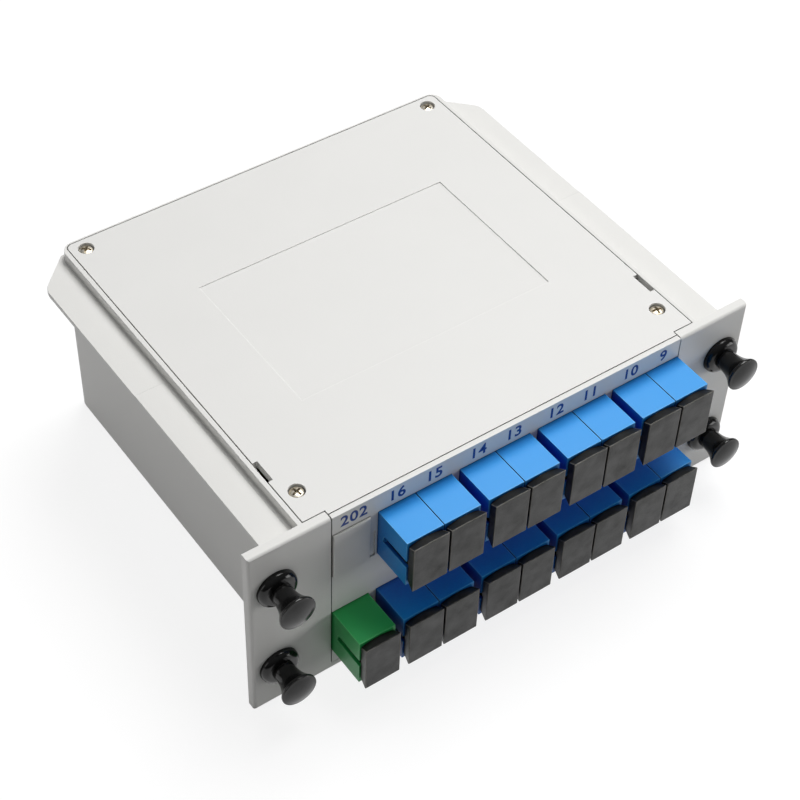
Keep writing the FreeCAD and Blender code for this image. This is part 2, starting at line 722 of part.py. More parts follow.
# -------------------------------------------------------- adapters, dust caps
def make_adapter(port, x_text, z_text):
    """A flangeless adapter on its side; its own frame has Y = 0 at the ears' front."""
    body = new_body("adapter_" + port)
    far = "(adapter_length - adapter_proud)"
    collar_near = "(%s + adapter_collar_gap)" % PANEL_BACK
    half_socket = "(socket_width / 2)"
    add_prism(body, "block", "-" + HALF_RISE, HALF_RISE,
              lambda s: draw_rectangle(s, "-" + HALF_ADAPTER, HALF_ADAPTER, MOUTH, far))
    half_collar = "(%s + adapter_collar)" % HALF_RISE
    add_prism(body, "collar", "-" + half_collar, half_collar,
              lambda s: draw_rectangle(s, "-" + HALF_ADAPTER, HALF_ADAPTER, collar_near,
                                       collar_near + " + adapter_collar_length"))
    cut_prism(body, "front_socket", "-socket_rise / 2", "socket_rise / 2",
              lambda s: draw_rectangle(s, "-" + half_socket, half_socket, MOUTH + " - past",
                                       ADAPTER_MIDDLE + " - mid_wall / 2"))
    cut_prism(body, "rear_socket", "-socket_rise / 2", "socket_rise / 2",
              lambda s: draw_rectangle(s, "-" + half_socket, half_socket,
                                       ADAPTER_MIDDLE + " + mid_wall / 2", far + " + past"))
    add_prism(body, "sleeve_holder", HOLDER_NEAR, HOLDER_FAR,
              lambda s: draw_port_round(s, "holder_radius"), "XZ_Plane")
    cut_prism(body, "bore", HOLDER_NEAR + " - past", HOLDER_FAR + " + past",
              lambda s: draw_port_round(s, "holder_bore_radius"), "XZ_Plane")
    cut_prism(body, "key_slot", "-key_slot_width / 2", "key_slot_width / 2",
              lambda s: draw_rectangle(s, "-(%s + past)" % HALF_ADAPTER,
                                       "key_slot_overlap - " + half_socket,
                                       MOUTH + " - past", MOUTH + " + key_slot_length"))
    arch = "((%s ^ 2 + mouth_relief ^ 2) / (2 * mouth_relief))" % half_socket
    cut_prism(body, "mouth_arch", "-(%s + past)" % HALF_RISE, HALF_RISE + " + past",
              lambda s: draw_circle(s, "0", "%s + mouth_relief - %s" % (MOUTH, arch), arch))
    place(body, x_text, FRONT, z_text)


def make_dust_cap(port, x_text, z_text):
    """A plate over the adapter's mouth with a bored stem inside its socket."""
    body = new_body("dust_cap_" + port)
    half = "(cap_width / 2)"
    back = "(%s - cap_standoff)" % MOUTH
    front = "(%s - cap_thickness)" % back
    stem_end = "(%s + cap_stem_length)" % back
    add_prism(body, "plate", "-cap_rise / 2", "cap_rise / 2",
              lambda s: draw_polygon(s, [
                  ("cap_bevel - " + half, front), (half + " - cap_bevel", front),
                  (half, front + " + cap_bevel"), (half, back),
                  ("-" + half, back), ("-" + half, front + " + cap_bevel")]))
    add_prism(body, "stem", "-cap_stem_rise / 2", "cap_stem_rise / 2",
              lambda s: draw_rectangle(s, "-cap_stem_width / 2", "cap_stem_width / 2",
                                       back + " - sunk", stem_end))
    cut_prism(body, "bore", back + " - cap_thickness / 3", stem_end + " + past",
              lambda s: draw_port_round(s, "cap_bore_radius"), "XZ_Plane")
    place(body, x_text, FRONT, z_text)


def make_alignment_sleeves():
    """The ceramic sleeve in the middle of every adapter."""
    sleeves = []
    near = "(%s - sleeve_length / 2)" % ADAPTER_MIDDLE
    far = "(%s + sleeve_length / 2)" % ADAPTER_MIDDLE
    for port, (x_text, z_text) in PLACES.items():
        outer = port_rod("sleeve_outer_" + port, x_text, behind(near), behind(far), z_text,
                         "sleeve_radius")
        bore = port_rod("sleeve_bore_" + port, x_text, behind("(%s - past)" % near),
                        behind("(%s + past)" % far), z_text, "sleeve_bore_radius")
        sleeves.append(cut("sleeve_" + port, outer, bore))
    group("alignment_sleeves", sleeves)


def make_connector(port, x_text, z_text):
    """The push-in plug behind an adapter: body, ferrule and tapered boot."""
    near = "(%s + mid_wall / 2 + plug_gap)" % ADAPTER_MIDDLE
    far = "(%s + plug_length)" % near
    hollow_end = "(%s + plug_hollow_end)" % HOLDER_FAR
    half_hollow = "(holder_radius + plug_hollow_gap)"
    plug = block("plug_" + port, x_text + " - plug_width / 2", x_text + " + plug_width / 2",
                 behind(near), behind(far), z_text + " - plug_rise / 2", z_text + " + plug_rise / 2")
    hollow = block("plug_hollow_" + port, x_text + " - " + half_hollow, x_text + " + " + half_hollow,
                   behind("(%s - past)" % near), behind(hollow_end),
                   z_text + " - " + half_hollow, z_text + " + " + half_hollow)
    ferrule = port_rod("ferrule_" + port, x_text, behind(ADAPTER_MIDDLE),
                       behind(hollow_end) + " + plug_overlap", z_text, "ferrule_radius")
    boot = port_taper("boot_" + port, x_text, behind("(%s - plug_overlap)" % far),
                      behind("(%s + boot_length)" % far), z_text, "boot_radius", "boot_tip_radius")
    shell = cut("plug_shell_" + port, plug, hollow)
    return fuse("connector_" + port, [shell, ferrule, boot])


# ------------------------------------------- splitter module, clips and coil
def make_splitter_module():
    """The sealed metal tube that holds the splitter chip."""
    body = new_body("splitter_module")
    low = "floor_thickness + clip_wall"
    add_prism(body, "tube", low, low + " + module_rise", lambda s: draw_rectangle(
        s, "-module_length / 2", "module_length / 2",
        behind("(%s - module_width / 2)" % MODULE_BACK),
        behind("(%s + module_width / 2)" % MODULE_BACK)))


def make_module_clips():
    """Two U-shaped clips on the tray's floor that hold the module's ends."""
    clips = []
    half_slot = "(module_width / 2 + clip_fit)"
    near = behind("(%s - %s)" % (MODULE_BACK, half_slot))
    far = behind("(%s + %s)" % (MODULE_BACK, half_slot))
    seat = "(floor_thickness + clip_wall)"
    top = seat + " + module_rise"
    for name, sign in SIDES.items():
        centre = "(%s1 * (module_length / 2 - clip_inset))" % sign
        left = centre + " - clip_length / 2"
        right = centre + " + clip_length / 2"
        outer = block("clip_outer_" + name, left, right, near + " - clip_wall",
                      far + " + clip_wall", "floor_thickness", top)
        inner = block("clip_inner_" + name, left + " - past", right + " + past", near, far,
                      seat, top + " + past")
        clips.append(cut("clip_" + name, outer, inner))
    group("module_clips", clips)


def make_fibre_coil():
    """The spare fibre, wound as one flat bundle round the module."""
    body = new_body("fibre_coil")
    low = "floor_thickness"
    high = "floor_thickness + coil_section"

    def draw_ring(sketch, inset, bend):
        half_wide = "(%s - coil_side_gap - %s)" % (HALF_CAVITY, inset)
        half_deep = "(coil_depth / 2 + coil_section / 2 - %s)" % inset
        draw_rectangle(sketch, "-" + half_wide, half_wide,
                       behind("(%s - %s)" % (MODULE_BACK, half_deep)),
                       behind("(%s + %s)" % (MODULE_BACK, half_deep)), bend)

    add_prism(body, "outside", low, high,
              lambda s: draw_ring(s, "0", "coil_bend + coil_section / 2"))
    cut_prism(body, "inside", low + " - past", high + " + past",
              lambda s: draw_ring(s, "coil_section", "coil_bend - coil_section / 2"))
    round_edges(body, "soft_edges", "coil_section / 4", lambda edge: True, "Chamfer")


# --------------------------------------------------------------------- latches
def make_grommet(name, x_text, z_text):
    """The snap-in sleeve of a latch: a sloped collar and four spreading legs."""
    body = new_body("latch_grommet_" + name)
    revolve(body, "sleeve", lambda s: draw_polygon(s, [
        ("grommet_bore_radius", "-collar_rise"), ("collar_radius - collar_crown", "-collar_rise"),
        ("collar_radius", "-collar_edge"), ("collar_radius", "0"), ("grommet_radius", "0"),
        ("grommet_radius", "grommet_reach - grommet_lead"), ("grommet_tip_radius", "grommet_reach"),
        ("cavity_radius", "grommet_reach"), ("cavity_radius", "cavity_start + cavity_slope"),
        ("grommet_bore_radius", "cavity_start")]))
    slot_start = "ear_thickness + grommet_band"
    across = "(grommet_radius + past)"
    cut_prism(body, "upright_slot", "-" + across, across,
              lambda s: draw_rectangle(s, "-grommet_slot / 2", "grommet_slot / 2",
                                       slot_start, "grommet_reach + past"))
    cut_prism(body, "level_slot", "-grommet_slot / 2", "grommet_slot / 2",
              lambda s: draw_rectangle(s, "-" + across, across, slot_start, "grommet_reach + past"))
    place(body, x_text, FRONT, z_text)


def make_plunger(name, x_text, z_text):
    """The pull knob of a latch: a flared spool on a pin whose bulb spreads the legs."""
    body = new_body("latch_plunger_" + name)
    shaft = "(grommet_bore_radius - latch_clearance)"
    foot = "(0 - collar_rise - latch_clearance)"
    rim = "(knob_slope - knob_rise)"
    waist = "(%s + knob_edge + knob_flare)" % rim
    horn = [("knob_waist + %g * (knob_radius - knob_waist)" % widening,
             "%s - %g * knob_flare" % (waist, length))
            for widening, length in reversed(HORN_CORNERS)]
    revolve(body, "spool", lambda s: draw_polygon(s, [
        ("0", "-knob_rise"), ("knob_crown_radius", "-knob_rise"), ("knob_radius", rim),
        ("knob_radius", rim + " + knob_edge")] + horn + [("knob_waist", waist),
        ("knob_waist", foot), (shaft, foot), (shaft, "bulb_start - bulb_slope"),
        ("bulb_radius", "bulb_start"), (shaft, "grommet_reach"), ("0", "grommet_reach")]))
    place(body, x_text, FRONT, z_text)


# ----------------------------------------------------------------- whole build
def build():
    make_housing()
    make_cover()
    make_cover_screws()
    make_front_panel()
    make_blank_plate()
    for port, (x_text, z_text) in PLACES.items():
        make_adapter(port, x_text, z_text)
        make_dust_cap(port, x_text, z_text)
    make_alignment_sleeves()
    for name, (x_text, z_text) in LATCHES.items():
        make_grommet(name, x_text, z_text)
        make_plunger(name, x_text, z_text)
    lower = []
    upper = []
    for port in range(1, PORTS + 1):
        connector = make_connector("%02d" % port, *PLACES["%02d" % port])
        (lower if port <= PORTS_IN_ROW else upper).append(connector)
    group("output_connectors_lower", lower)
    group("output_connectors_upper", upper)
    group("input_connector", [make_connector("in", *PLACES["in"])])
    make_splitter_module()
    make_module_clips()
    make_fibre_coil()


def check_and_export():
    doc.recompute()
    for thing in doc.Objects:
        for fault in ("Invalid", "Error"):
            if fault in thing.State:
                raise RuntimeError("%s is %s" % (thing.Name, fault))
    for part in SUBPARTS:
        if part.Shape.isNull() or not part.Shape.isValid():
            raise RuntimeError("%s has no valid shape" % part.Label)
    os.makedirs("parts", exist_ok=True)
    for part in SUBPARTS:
        part.Shape.exportStep("parts/%s.step" % part.Label)
    print("%d sub-parts written" % len(SUBPARTS))


build()
check_and_export()
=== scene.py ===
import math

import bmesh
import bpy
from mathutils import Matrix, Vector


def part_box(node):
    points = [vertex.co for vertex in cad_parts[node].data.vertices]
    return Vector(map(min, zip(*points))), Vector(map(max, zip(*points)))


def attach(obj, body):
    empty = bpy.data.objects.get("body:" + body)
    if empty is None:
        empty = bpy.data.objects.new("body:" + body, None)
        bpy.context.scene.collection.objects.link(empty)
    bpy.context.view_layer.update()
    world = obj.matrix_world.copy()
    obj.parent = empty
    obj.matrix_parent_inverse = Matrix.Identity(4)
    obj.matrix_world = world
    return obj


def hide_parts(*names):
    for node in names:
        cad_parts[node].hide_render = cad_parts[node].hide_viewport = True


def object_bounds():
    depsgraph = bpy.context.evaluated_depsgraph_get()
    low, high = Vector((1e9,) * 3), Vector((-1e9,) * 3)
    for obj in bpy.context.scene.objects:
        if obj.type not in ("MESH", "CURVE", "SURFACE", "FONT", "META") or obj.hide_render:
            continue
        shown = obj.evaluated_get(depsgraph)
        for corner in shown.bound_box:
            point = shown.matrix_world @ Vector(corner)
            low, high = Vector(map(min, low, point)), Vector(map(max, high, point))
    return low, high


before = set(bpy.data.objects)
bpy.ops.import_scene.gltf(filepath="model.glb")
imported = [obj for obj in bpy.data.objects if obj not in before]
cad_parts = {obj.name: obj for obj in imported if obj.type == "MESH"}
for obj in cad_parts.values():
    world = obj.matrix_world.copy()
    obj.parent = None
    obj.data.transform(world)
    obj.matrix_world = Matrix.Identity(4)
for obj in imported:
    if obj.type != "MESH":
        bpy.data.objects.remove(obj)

# %% [markdown]
# A fibre splitter cassette is a flat ABS box that plugs into a rack.  Its tray, cover
# and front panel are pale moulded plastic, its adapters are blue or green, and its
# dust caps and latches are black.  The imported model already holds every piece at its
# true size, so this script only dresses it: it rounds the moulded edges, builds the
# pieces of the front again with finer forms, and gives each material its finish.
# All lengths are in metres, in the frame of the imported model.

MM = 0.001
CAD_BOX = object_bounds()
PORTS = ["%02d" % port for port in range(1, 17)] + ["in"]
LATCHES = [side + "_" + row for side in ("left", "right") for row in ("upper", "lower")]
scene = bpy.context.scene
print("the packed object spans", [round(size / MM, 1) for size in CAD_BOX[1] - CAD_BOX[0]], "mm")

# %% [markdown]
# The cassette is looked at from its left front corner and from well above, through a
# long lens, which keeps the verticals nearly parallel.  Three angles turn the camera,
# and an offset along its own three axes sets it back from the middle of the front's
# foot.  Its matrix is built from them directly, because a camera that tracks a target
# could not hold the small roll.

# %% Camera
VIEW_AZIMUTH = math.radians(-36.923)
VIEW_ELEVATION = math.radians(46.436)
VIEW_ROLL = math.radians(2.2915)
VIEW_OFFSET = Vector((22.367, -39.448, -425.92)) * MM
SENSOR = 36.0
LENS = 84.98


def camera_axes():
    """The camera's right, up and backward directions."""
    back = Vector((math.sin(VIEW_AZIMUTH) * math.cos(VIEW_ELEVATION),
                   -math.cos(VIEW_AZIMUTH) * math.cos(VIEW_ELEVATION),
                   math.sin(VIEW_ELEVATION)))
    level = Vector((math.cos(VIEW_AZIMUTH), math.sin(VIEW_AZIMUTH), 0))
    rise = back.cross(level)
    right = level * math.cos(VIEW_ROLL) + rise * math.sin(VIEW_ROLL)
    return right, back.cross(right), back


def make_camera():
    axes = camera_axes()
    ear_front = Vector((0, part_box("housing")[0].y, 0))
    place = ear_front - sum((axis * shift for axis, shift in zip(axes, VIEW_OFFSET)), Vector())
    turn = Matrix(axes).transposed()
    data = bpy.data.cameras.new("camera")
    data.sensor_width = SENSOR
    data.lens = LENS
    camera = bpy.data.objects.new("camera", data)
    scene.collection.objects.link(camera)
    camera.matrix_world = Matrix.Translation(place) @ turn.to_4x4()
    scene.camera = camera
    print("camera at", [round(value / MM, 1) for value in place], "mm")


make_camera()

# %% [markdown]
# Shaders are built from nodes, and most steps of that are alike: make a node, and give
# each socket a number, a colour or another node's output.  Two small helpers keep the
# recipes below as short as the formulas they stand for.

# %% Node helpers
def new_material(name):
    """A material, its node tree and its Principled shader."""
    material = bpy.data.materials.new(name)
    material.use_nodes = True
    tree = material.node_tree
    return material, tree, tree.nodes["Principled BSDF"]


def feed(tree, socket, value):
    """Give a socket a number, a colour or another node's output."""
    if isinstance(value, bpy.types.NodeSocket):
        tree.links.new(value, socket)
    elif isinstance(value, tuple):
        socket.default_value = (*value, 1)
    else:
        socket.default_value = value


def math_node(tree, operation, first, second, clamp=False):
    """A Math node; each operand is a number or another node's output."""
    node = tree.nodes.new("ShaderNodeMath")
    node.operation = operation
    node.use_clamp = clamp
    feed(tree, node.inputs[0], first)
    feed(tree, node.inputs[1], second)
    return node.outputs[0]


print("node helpers: feed and math_node")

# %% [markdown]
# The object lies on a pale seamless floor.  Plain white paint would either clip or turn
# grey in this light, so the floor is two things.  To light that bounces from it, it is
# ordinary paint, which lights the object's sides from below.  To the camera and to
# mirrors it is a glow with a little diffuse paint added, so that it stays pale and
# still takes a faint shadow.  A Light Path node tells the two apart.

# %% Floor
FLOOR_SIZE = 6.0
FLOOR_PAINT = (0.34, 0.34, 0.34)
FLOOR_ROUGHNESS = 0.9
FLOOR_SEEN = (0.22, 0.22, 0.22)
FLOOR_GLOW = 0.84


def is_seen_directly(tree):
    """A factor that is 1 for the camera, and for mirrors and glass that look at it."""
    path = tree.nodes.new("ShaderNodeLightPath").outputs
    mirrored = math_node(tree, "ADD", path["Is Glossy Ray"], path["Is Transmission Ray"])
    return math_node(tree, "ADD", path["Is Camera Ray"], mirrored, clamp=True)


def floor_material():
    material, tree, paint = new_material("pale_floor")
    feed(tree, paint.inputs["Base Color"], FLOOR_PAINT)
    feed(tree, paint.inputs["Roughness"], FLOOR_ROUGHNESS)
    feed(tree, paint.inputs["Specular IOR Level"], 0.0)
    diffuse = tree.nodes.new("ShaderNodeBsdfDiffuse")
    feed(tree, diffuse.inputs["Color"], FLOOR_SEEN)
    glow = tree.nodes.new("ShaderNodeEmission")
    feed(tree, glow.inputs["Strength"], FLOOR_GLOW)
    both = tree.nodes.new("ShaderNodeAddShader")
    feed(tree, both.inputs[0], diffuse.outputs[0])
    feed(tree, both.inputs[1], glow.outputs[0])
    choose = tree.nodes.new("ShaderNodeMixShader")
    feed(tree, choose.inputs[0], is_seen_directly(tree))
    feed(tree, choose.inputs[1], paint.outputs[0])
    feed(tree, choose.inputs[2], both.outputs[0])
    feed(tree, tree.nodes["Material Output"].inputs["Surface"], choose.outputs[0])
    return material


def make_floor():
    bm = bmesh.new()
    bmesh.ops.create_grid(bm, x_segments=1, y_segments=1, size=FLOOR_SIZE / 2)
    bmesh.ops.translate(bm, verts=bm.verts, vec=(0, 0, CAD_BOX[0].z))
    mesh = bpy.data.meshes.new("floor")
    bm.to_mesh(mesh)
    bm.free()
    mesh.materials.append(floor_material())
    floor = bpy.data.objects.new("floor", mesh)
    scene.collection.objects.link(floor)


make_floor()
print("a floor", FLOOR_SIZE, "m wide")

# %% [markdown]
# The sky stands for the room's walls and ceiling.  It is much darker near the horizon
# than overhead, so that the front stays in shade and the lower row of adapters is
# darker than the upper one.  The camera sees a plain backdrop instead of it.

# %% Sky
SKY_TINT = (0.97, 0.985, 1.0)
HORIZON_LEVEL = 0.03
ZENITH_LEVEL = 0.28


def make_world():
    world = bpy.data.worlds.new("studio")
    scene.world = world
    world.use_nodes = True
    tree = world.node_tree
    split = tree.nodes.new("ShaderNodeSeparateXYZ")
    feed(tree, split.inputs[0], tree.nodes.new("ShaderNodeTexCoord").outputs["Generated"])
    climb = tree.nodes.new("ShaderNodeMapRange")
    feed(tree, climb.inputs["Value"], split.outputs["Z"])
    feed(tree, climb.inputs["To Min"], HORIZON_LEVEL)
    feed(tree, climb.inputs["To Max"], ZENITH_LEVEL)
    sky = tree.nodes["Background"]
    feed(tree, sky.inputs["Color"], SKY_TINT)
    feed(tree, sky.inputs["Strength"], climb.outputs[0])
    backdrop = tree.nodes.new("ShaderNodeBackground")
    choose = tree.nodes.new("ShaderNodeMixShader")
    feed(tree, choose.inputs[0], tree.nodes.new("ShaderNodeLightPath").outputs["Is Camera Ray"])
    feed(tree, choose.inputs[1], sky.outputs[0])
    feed(tree, choose.inputs[2], backdrop.outputs[0])
    feed(tree, tree.nodes["World Output"].inputs["Surface"], choose.outputs[0])


make_world()
print("sky level from", HORIZON_LEVEL, "at the horizon to", ZENITH_LEVEL, "overhead")

# %% [markdown]
# One large soft lamp stands above the right rear corner, so that the cover is bright
# while the front and the left side stay in even shade.  A low weak lamp at the right of
# the front lifts the right ear a little above the left one, and another at the left
# keeps the long wall readable.  Soft square lamps are used because their reflections
# look like a studio's light boxes.

# %% Lamps
LAMPS = {
    "key_lamp": {"place": (0.50, 0.25, 1.15), "size": 0.75, "power": 13.7},
    "fill_lamp": {"place": (0.62, -0.50, 0.06), "size": 0.40, "power": 2.2},
    "side_lamp": {"place": (-0.85, 0.20, 0.30), "size": 0.45, "power": 0.8},
}


def make_lamp(name, place, size, power):
    """A square soft lamp that faces the middle of the object."""
    data = bpy.data.lights.new(name, "AREA")
    data.size = size
    data.energy = power
    lamp = bpy.data.objects.new(name, data)
    scene.collection.objects.link(lamp)
    towards = sum(CAD_BOX, Vector()) / 2 - Vector(place)
    turn = towards.to_track_quat("-Z", "Y").to_matrix().to_4x4()
    lamp.matrix_world = Matrix.Translation(place) @ turn


for lamp_name, settings in LAMPS.items():
    make_lamp(lamp_name, **settings)
scene.view_settings.view_transform = "Standard"
print("lamps:", ", ".join(LAMPS))

# %% [markdown]
# Every surface here is moulded, turned or plated, and four effects are shared: a fine
# grain that breaks up highlights, a faint unevenness of tone, a mask for edges, which
# carry a painted highlight along with some wear, and a mask for open faces, whose low
# values paint shade into gaps.  Each is a node group, built once and placed in the
# materials with their own values.  The patterns read Object coordinates, so they have
# the same size on every piece.

# %% Shared effects: grain and tone
SWELL_DETAIL = 3.0
DRIFT_DETAIL = 2.0
SPECKLE_FINENESS = 40.0


def new_group(name, inputs, outputs):
    """An empty shader node group with float inputs and outputs."""
    group = bpy.data.node_groups.new(name, "ShaderNodeTree")
    for label, value in inputs:
        socket = group.interface.new_socket(label, in_out="INPUT", socket_type="NodeSocketFloat")
        socket.default_value = value
    for label in outputs:
        group.interface.new_socket(label, in_out="OUTPUT", socket_type="NodeSocketFloat")
    return group, group.nodes.new("NodeGroupInput"), group.nodes.new("NodeGroupOutput")


def noise_node(tree, coordinates, scale, detail):
    noise = tree.nodes.new("ShaderNodeTexNoise")
    feed(tree, noise.inputs["Vector"], coordinates)
    feed(tree, noise.inputs["Scale"], scale)
    feed(tree, noise.inputs["Detail"], detail)
    return noise.outputs["Fac"]


def make_grain_group():
    """Spark-eroded mould grain: small pits with softer swells between them."""
    group, given, made = new_group("moulded_grain", [("Scale", 4000.0), ("Pits", 0.5)], ["Height"])
    place = group.nodes.new("ShaderNodeTexCoord").outputs["Object"]
    pits = group.nodes.new("ShaderNodeTexVoronoi")
    pits.feature = "F1"
    feed(group, pits.inputs["Vector"], place)
    feed(group, pits.inputs["Scale"], given.outputs["Scale"])
    swell = noise_node(group, place, given.outputs["Scale"], SWELL_DETAIL)
    deep = math_node(group, "MULTIPLY", pits.outputs["Distance"], given.outputs["Pits"])
    feed(group, made.inputs["Height"], math_node(group, "ADD", swell, deep))
    return group


def make_tone_group():
    """A slow drift of tone with a little fine speckle, centred on zero."""
    group, given, made = new_group(
        "uneven_tone", [("Scale", 60.0), ("Speckle", 0.3), ("Amount", 0.05)], ["Shift"])
    place = group.nodes.new("ShaderNodeTexCoord").outputs["Object"]
    slow = noise_node(group, place, given.outputs["Scale"], DRIFT_DETAIL)
    fine_scale = math_node(group, "MULTIPLY", given.outputs["Scale"], SPECKLE_FINENESS)
    fast = noise_node(group, place, fine_scale, DRIFT_DETAIL)
    drift = math_node(group, "SUBTRACT", slow, 0.5)
    speckle = math_node(group, "MULTIPLY", math_node(group, "SUBTRACT", fast, 0.5),
                        given.outputs["Speckle"])
    mixed = math_node(group, "ADD", drift, speckle)
    feed(group, made.inputs["Shift"], math_node(group, "MULTIPLY", mixed, given.outputs["Amount"]))
    return group


GRAIN = make_grain_group()
TONE = make_tone_group()
print("patterns:", GRAIN.name, "and", TONE.name)

# %% [markdown]
# Edges get a painted highlight along with some wear, and gaps and overhangs get painted
# shade.  The Bevel node gives the normal that a rounded edge would have, so wherever it
# bends away from the true one there is an edge.  The Ambient Occlusion node says how much
# of the surroundings a point sees: with a short reach it finds gaps and corners, and with
# a long one it finds overhangs.

# %% Shared effects: painted edge highlight with wear, and painted shade in gaps
MASK_SAMPLES = 4


def make_edge_group():
    """A mask that is near 1 along edges and 0 on flat faces."""
    group, given, made = new_group("edge_mask", [("Width", 0.0004), ("Gain", 9.0)], ["Edge"])
    rounded = group.nodes.new("ShaderNodeBevel")
    rounded.samples = MASK_SAMPLES
    feed(group, rounded.inputs["Radius"], given.outputs["Width"])
    product = group.nodes.new("ShaderNodeVectorMath")
    product.operation = "DOT_PRODUCT"
    feed(group, product.inputs[0], rounded.outputs["Normal"])
    feed(group, product.inputs[1], group.nodes.new("ShaderNodeNewGeometry").outputs["Normal"])
    bend = math_node(group, "SUBTRACT", 1.0, product.outputs["Value"])
    edge = math_node(group, "MULTIPLY", bend, given.outputs["Gain"], clamp=True)
    feed(group, made.inputs["Edge"], edge)
    return group


def make_crevice_group():
    """A mask that is 1 on open faces and falls towards 0 in gaps and under overhangs."""
    group, given, made = new_group("crevice_mask", [("Reach", 0.0006), ("Gain", 1.15)], ["Open"])
    nearby = group.nodes.new("ShaderNodeAmbientOcclusion")
    nearby.samples = MASK_SAMPLES
    feed(group, nearby.inputs["Distance"], given.outputs["Reach"])
    seen = math_node(group, "MULTIPLY", nearby.outputs["AO"], given.outputs["Gain"], clamp=True)
    feed(group, made.inputs["Open"], seen)
    return group


EDGE = make_edge_group()
CREVICE = make_crevice_group()
print("masks:", EDGE.name, "and", CREVICE.name)

# %% [markdown]
# Moulded plastic is one recipe with different numbers.  The tone group shifts the
# colour's value and the roughness, and once more, finer, the strength of the gloss, as
# a worn film of mould oil does.  The edge mask turns edges towards an edge colour, a
# painted highlight along with some wear, and polishes them, but only where the crevice
# mask says that the edge is clear of gaps.  The crevice mask also paints shade into gaps
# and corners, on the colour and on the gloss.  A second one, with a long reach, finds
# the faces that lie under the row above, and paints shade on them by turning them
# towards a deep colour.

# %% Recipe for moulded plastic
OVERHANG_SHADE_REACH = 0.022
OVERHANG_SHADE_GAIN = 1.7
OVERHANG_SHADE_FALL = 1.6
EDGE_TINT_FALL = 4.0
POLISH = 0.08
MATT_DRIFT = 1.2
FILM_FINENESS = 5
FILM_SPECKLE = 0.8


def place_group(tree, group, **values):
    node = tree.nodes.new("ShaderNodeGroup")
    node.node_tree = group
    for label, value in values.items():
        node.inputs[label].default_value = value
    return node.outputs[0]


def mix_colours(tree, factor, first, second):
    """A colour between two others; each is a colour or another node's output."""
    mix = tree.nodes.new("ShaderNodeMix")
    mix.data_type = "RGBA"
    feed(tree, mix.inputs["Factor"], factor)
    feed(tree, mix.inputs["A"], first)
    feed(tree, mix.inputs["B"], second)
    return mix.outputs["Result"]


def scale_value(tree, colour, value):
    """A colour whose brightness is multiplied."""
    scaled = tree.nodes.new("ShaderNodeHueSaturation")
    feed(tree, scaled.inputs["Color"], colour)
    feed(tree, scaled.inputs["Value"], value)
    return scaled.outputs["Color"]


def add_grain(tree, shader, depth, **settings):
    """Disturb the shader's normals with the grain group; depth is in metres."""
    bump = tree.nodes.new("ShaderNodeBump")
    feed(tree, bump.inputs["Strength"], 1.0)
    feed(tree, bump.inputs["Distance"], depth)
    feed(tree, bump.inputs["Height"], place_group(tree, GRAIN, **settings))
    feed(tree, shader.inputs["Normal"], bump.outputs["Normal"])


def plastic(name, colour, lit_and_worn_edge, roughness, grain_scale, grain_depth, tone=0.05, tone_scale=60.0,
            lit_and_worn_share=0.5, edge=0.0004, specular=0.5, film=0.0, reach=0.0006, shadow=0.75, deep=None):
    """Moulded plastic with a painted edge highlight, some wear, and painted shade under overhangs."""
    material, tree, shader = new_material(name)
    drift = place_group(tree, TONE, Scale=tone_scale, Amount=tone)
    is_open = place_group(tree, CREVICE, Reach=reach)
    # Painted shade: where the crevice mask is low, the colour and the gloss darken.
    shade = math_node(tree, "ADD", math_node(tree, "MULTIPLY", is_open, shadow), 1 - shadow)
    clear_of_gaps = math_node(tree, "POWER", is_open, EDGE_TINT_FALL)
    # Painted highlight along with some wear: edges clear of gaps turn towards the edge colour.
    lit_and_worn_mask = math_node(tree, "MULTIPLY", place_group(tree, EDGE, Width=edge), clear_of_gaps)
    # Painted shade: faces under the row above turn towards the deep colour.
    if deep:
        overhang_open = place_group(tree, CREVICE, Reach=OVERHANG_SHADE_REACH, Gain=OVERHANG_SHADE_GAIN)
        colour = mix_colours(tree, math_node(tree, "POWER", overhang_open, OVERHANG_SHADE_FALL), deep, colour)
    bright = math_node(tree, "MULTIPLY", math_node(tree, "ADD", drift, 1.0), shade)
    shaded = scale_value(tree, colour, bright)
    with_lit_edges = mix_colours(tree, math_node(tree, "MULTIPLY", lit_and_worn_mask, lit_and_worn_share), shaded, lit_and_worn_edge)
    feed(tree, shader.inputs["Base Color"], with_lit_edges)
    uneven = math_node(tree, "MULTIPLY", drift, MATT_DRIFT)
    polish = math_node(tree, "MULTIPLY", lit_and_worn_mask, -POLISH)
    matt = math_node(tree, "ADD", math_node(tree, "ADD", uneven, polish), roughness)
    feed(tree, shader.inputs["Roughness"], matt)
    film_drift = place_group(tree, TONE, Scale=tone_scale * FILM_FINENESS, Speckle=FILM_SPECKLE,
                             Amount=film)
    gloss = math_node(tree, "MULTIPLY", math_node(tree, "ADD", film_drift, 1.0), specular)
    feed(tree, shader.inputs["Specular IOR Level"], math_node(tree, "MULTIPLY", gloss, shade))
    add_grain(tree, shader, grain_depth, Scale=grain_scale)
    return material


print("recipe for plastic with", len(bpy.data.node_groups), "shared effects")
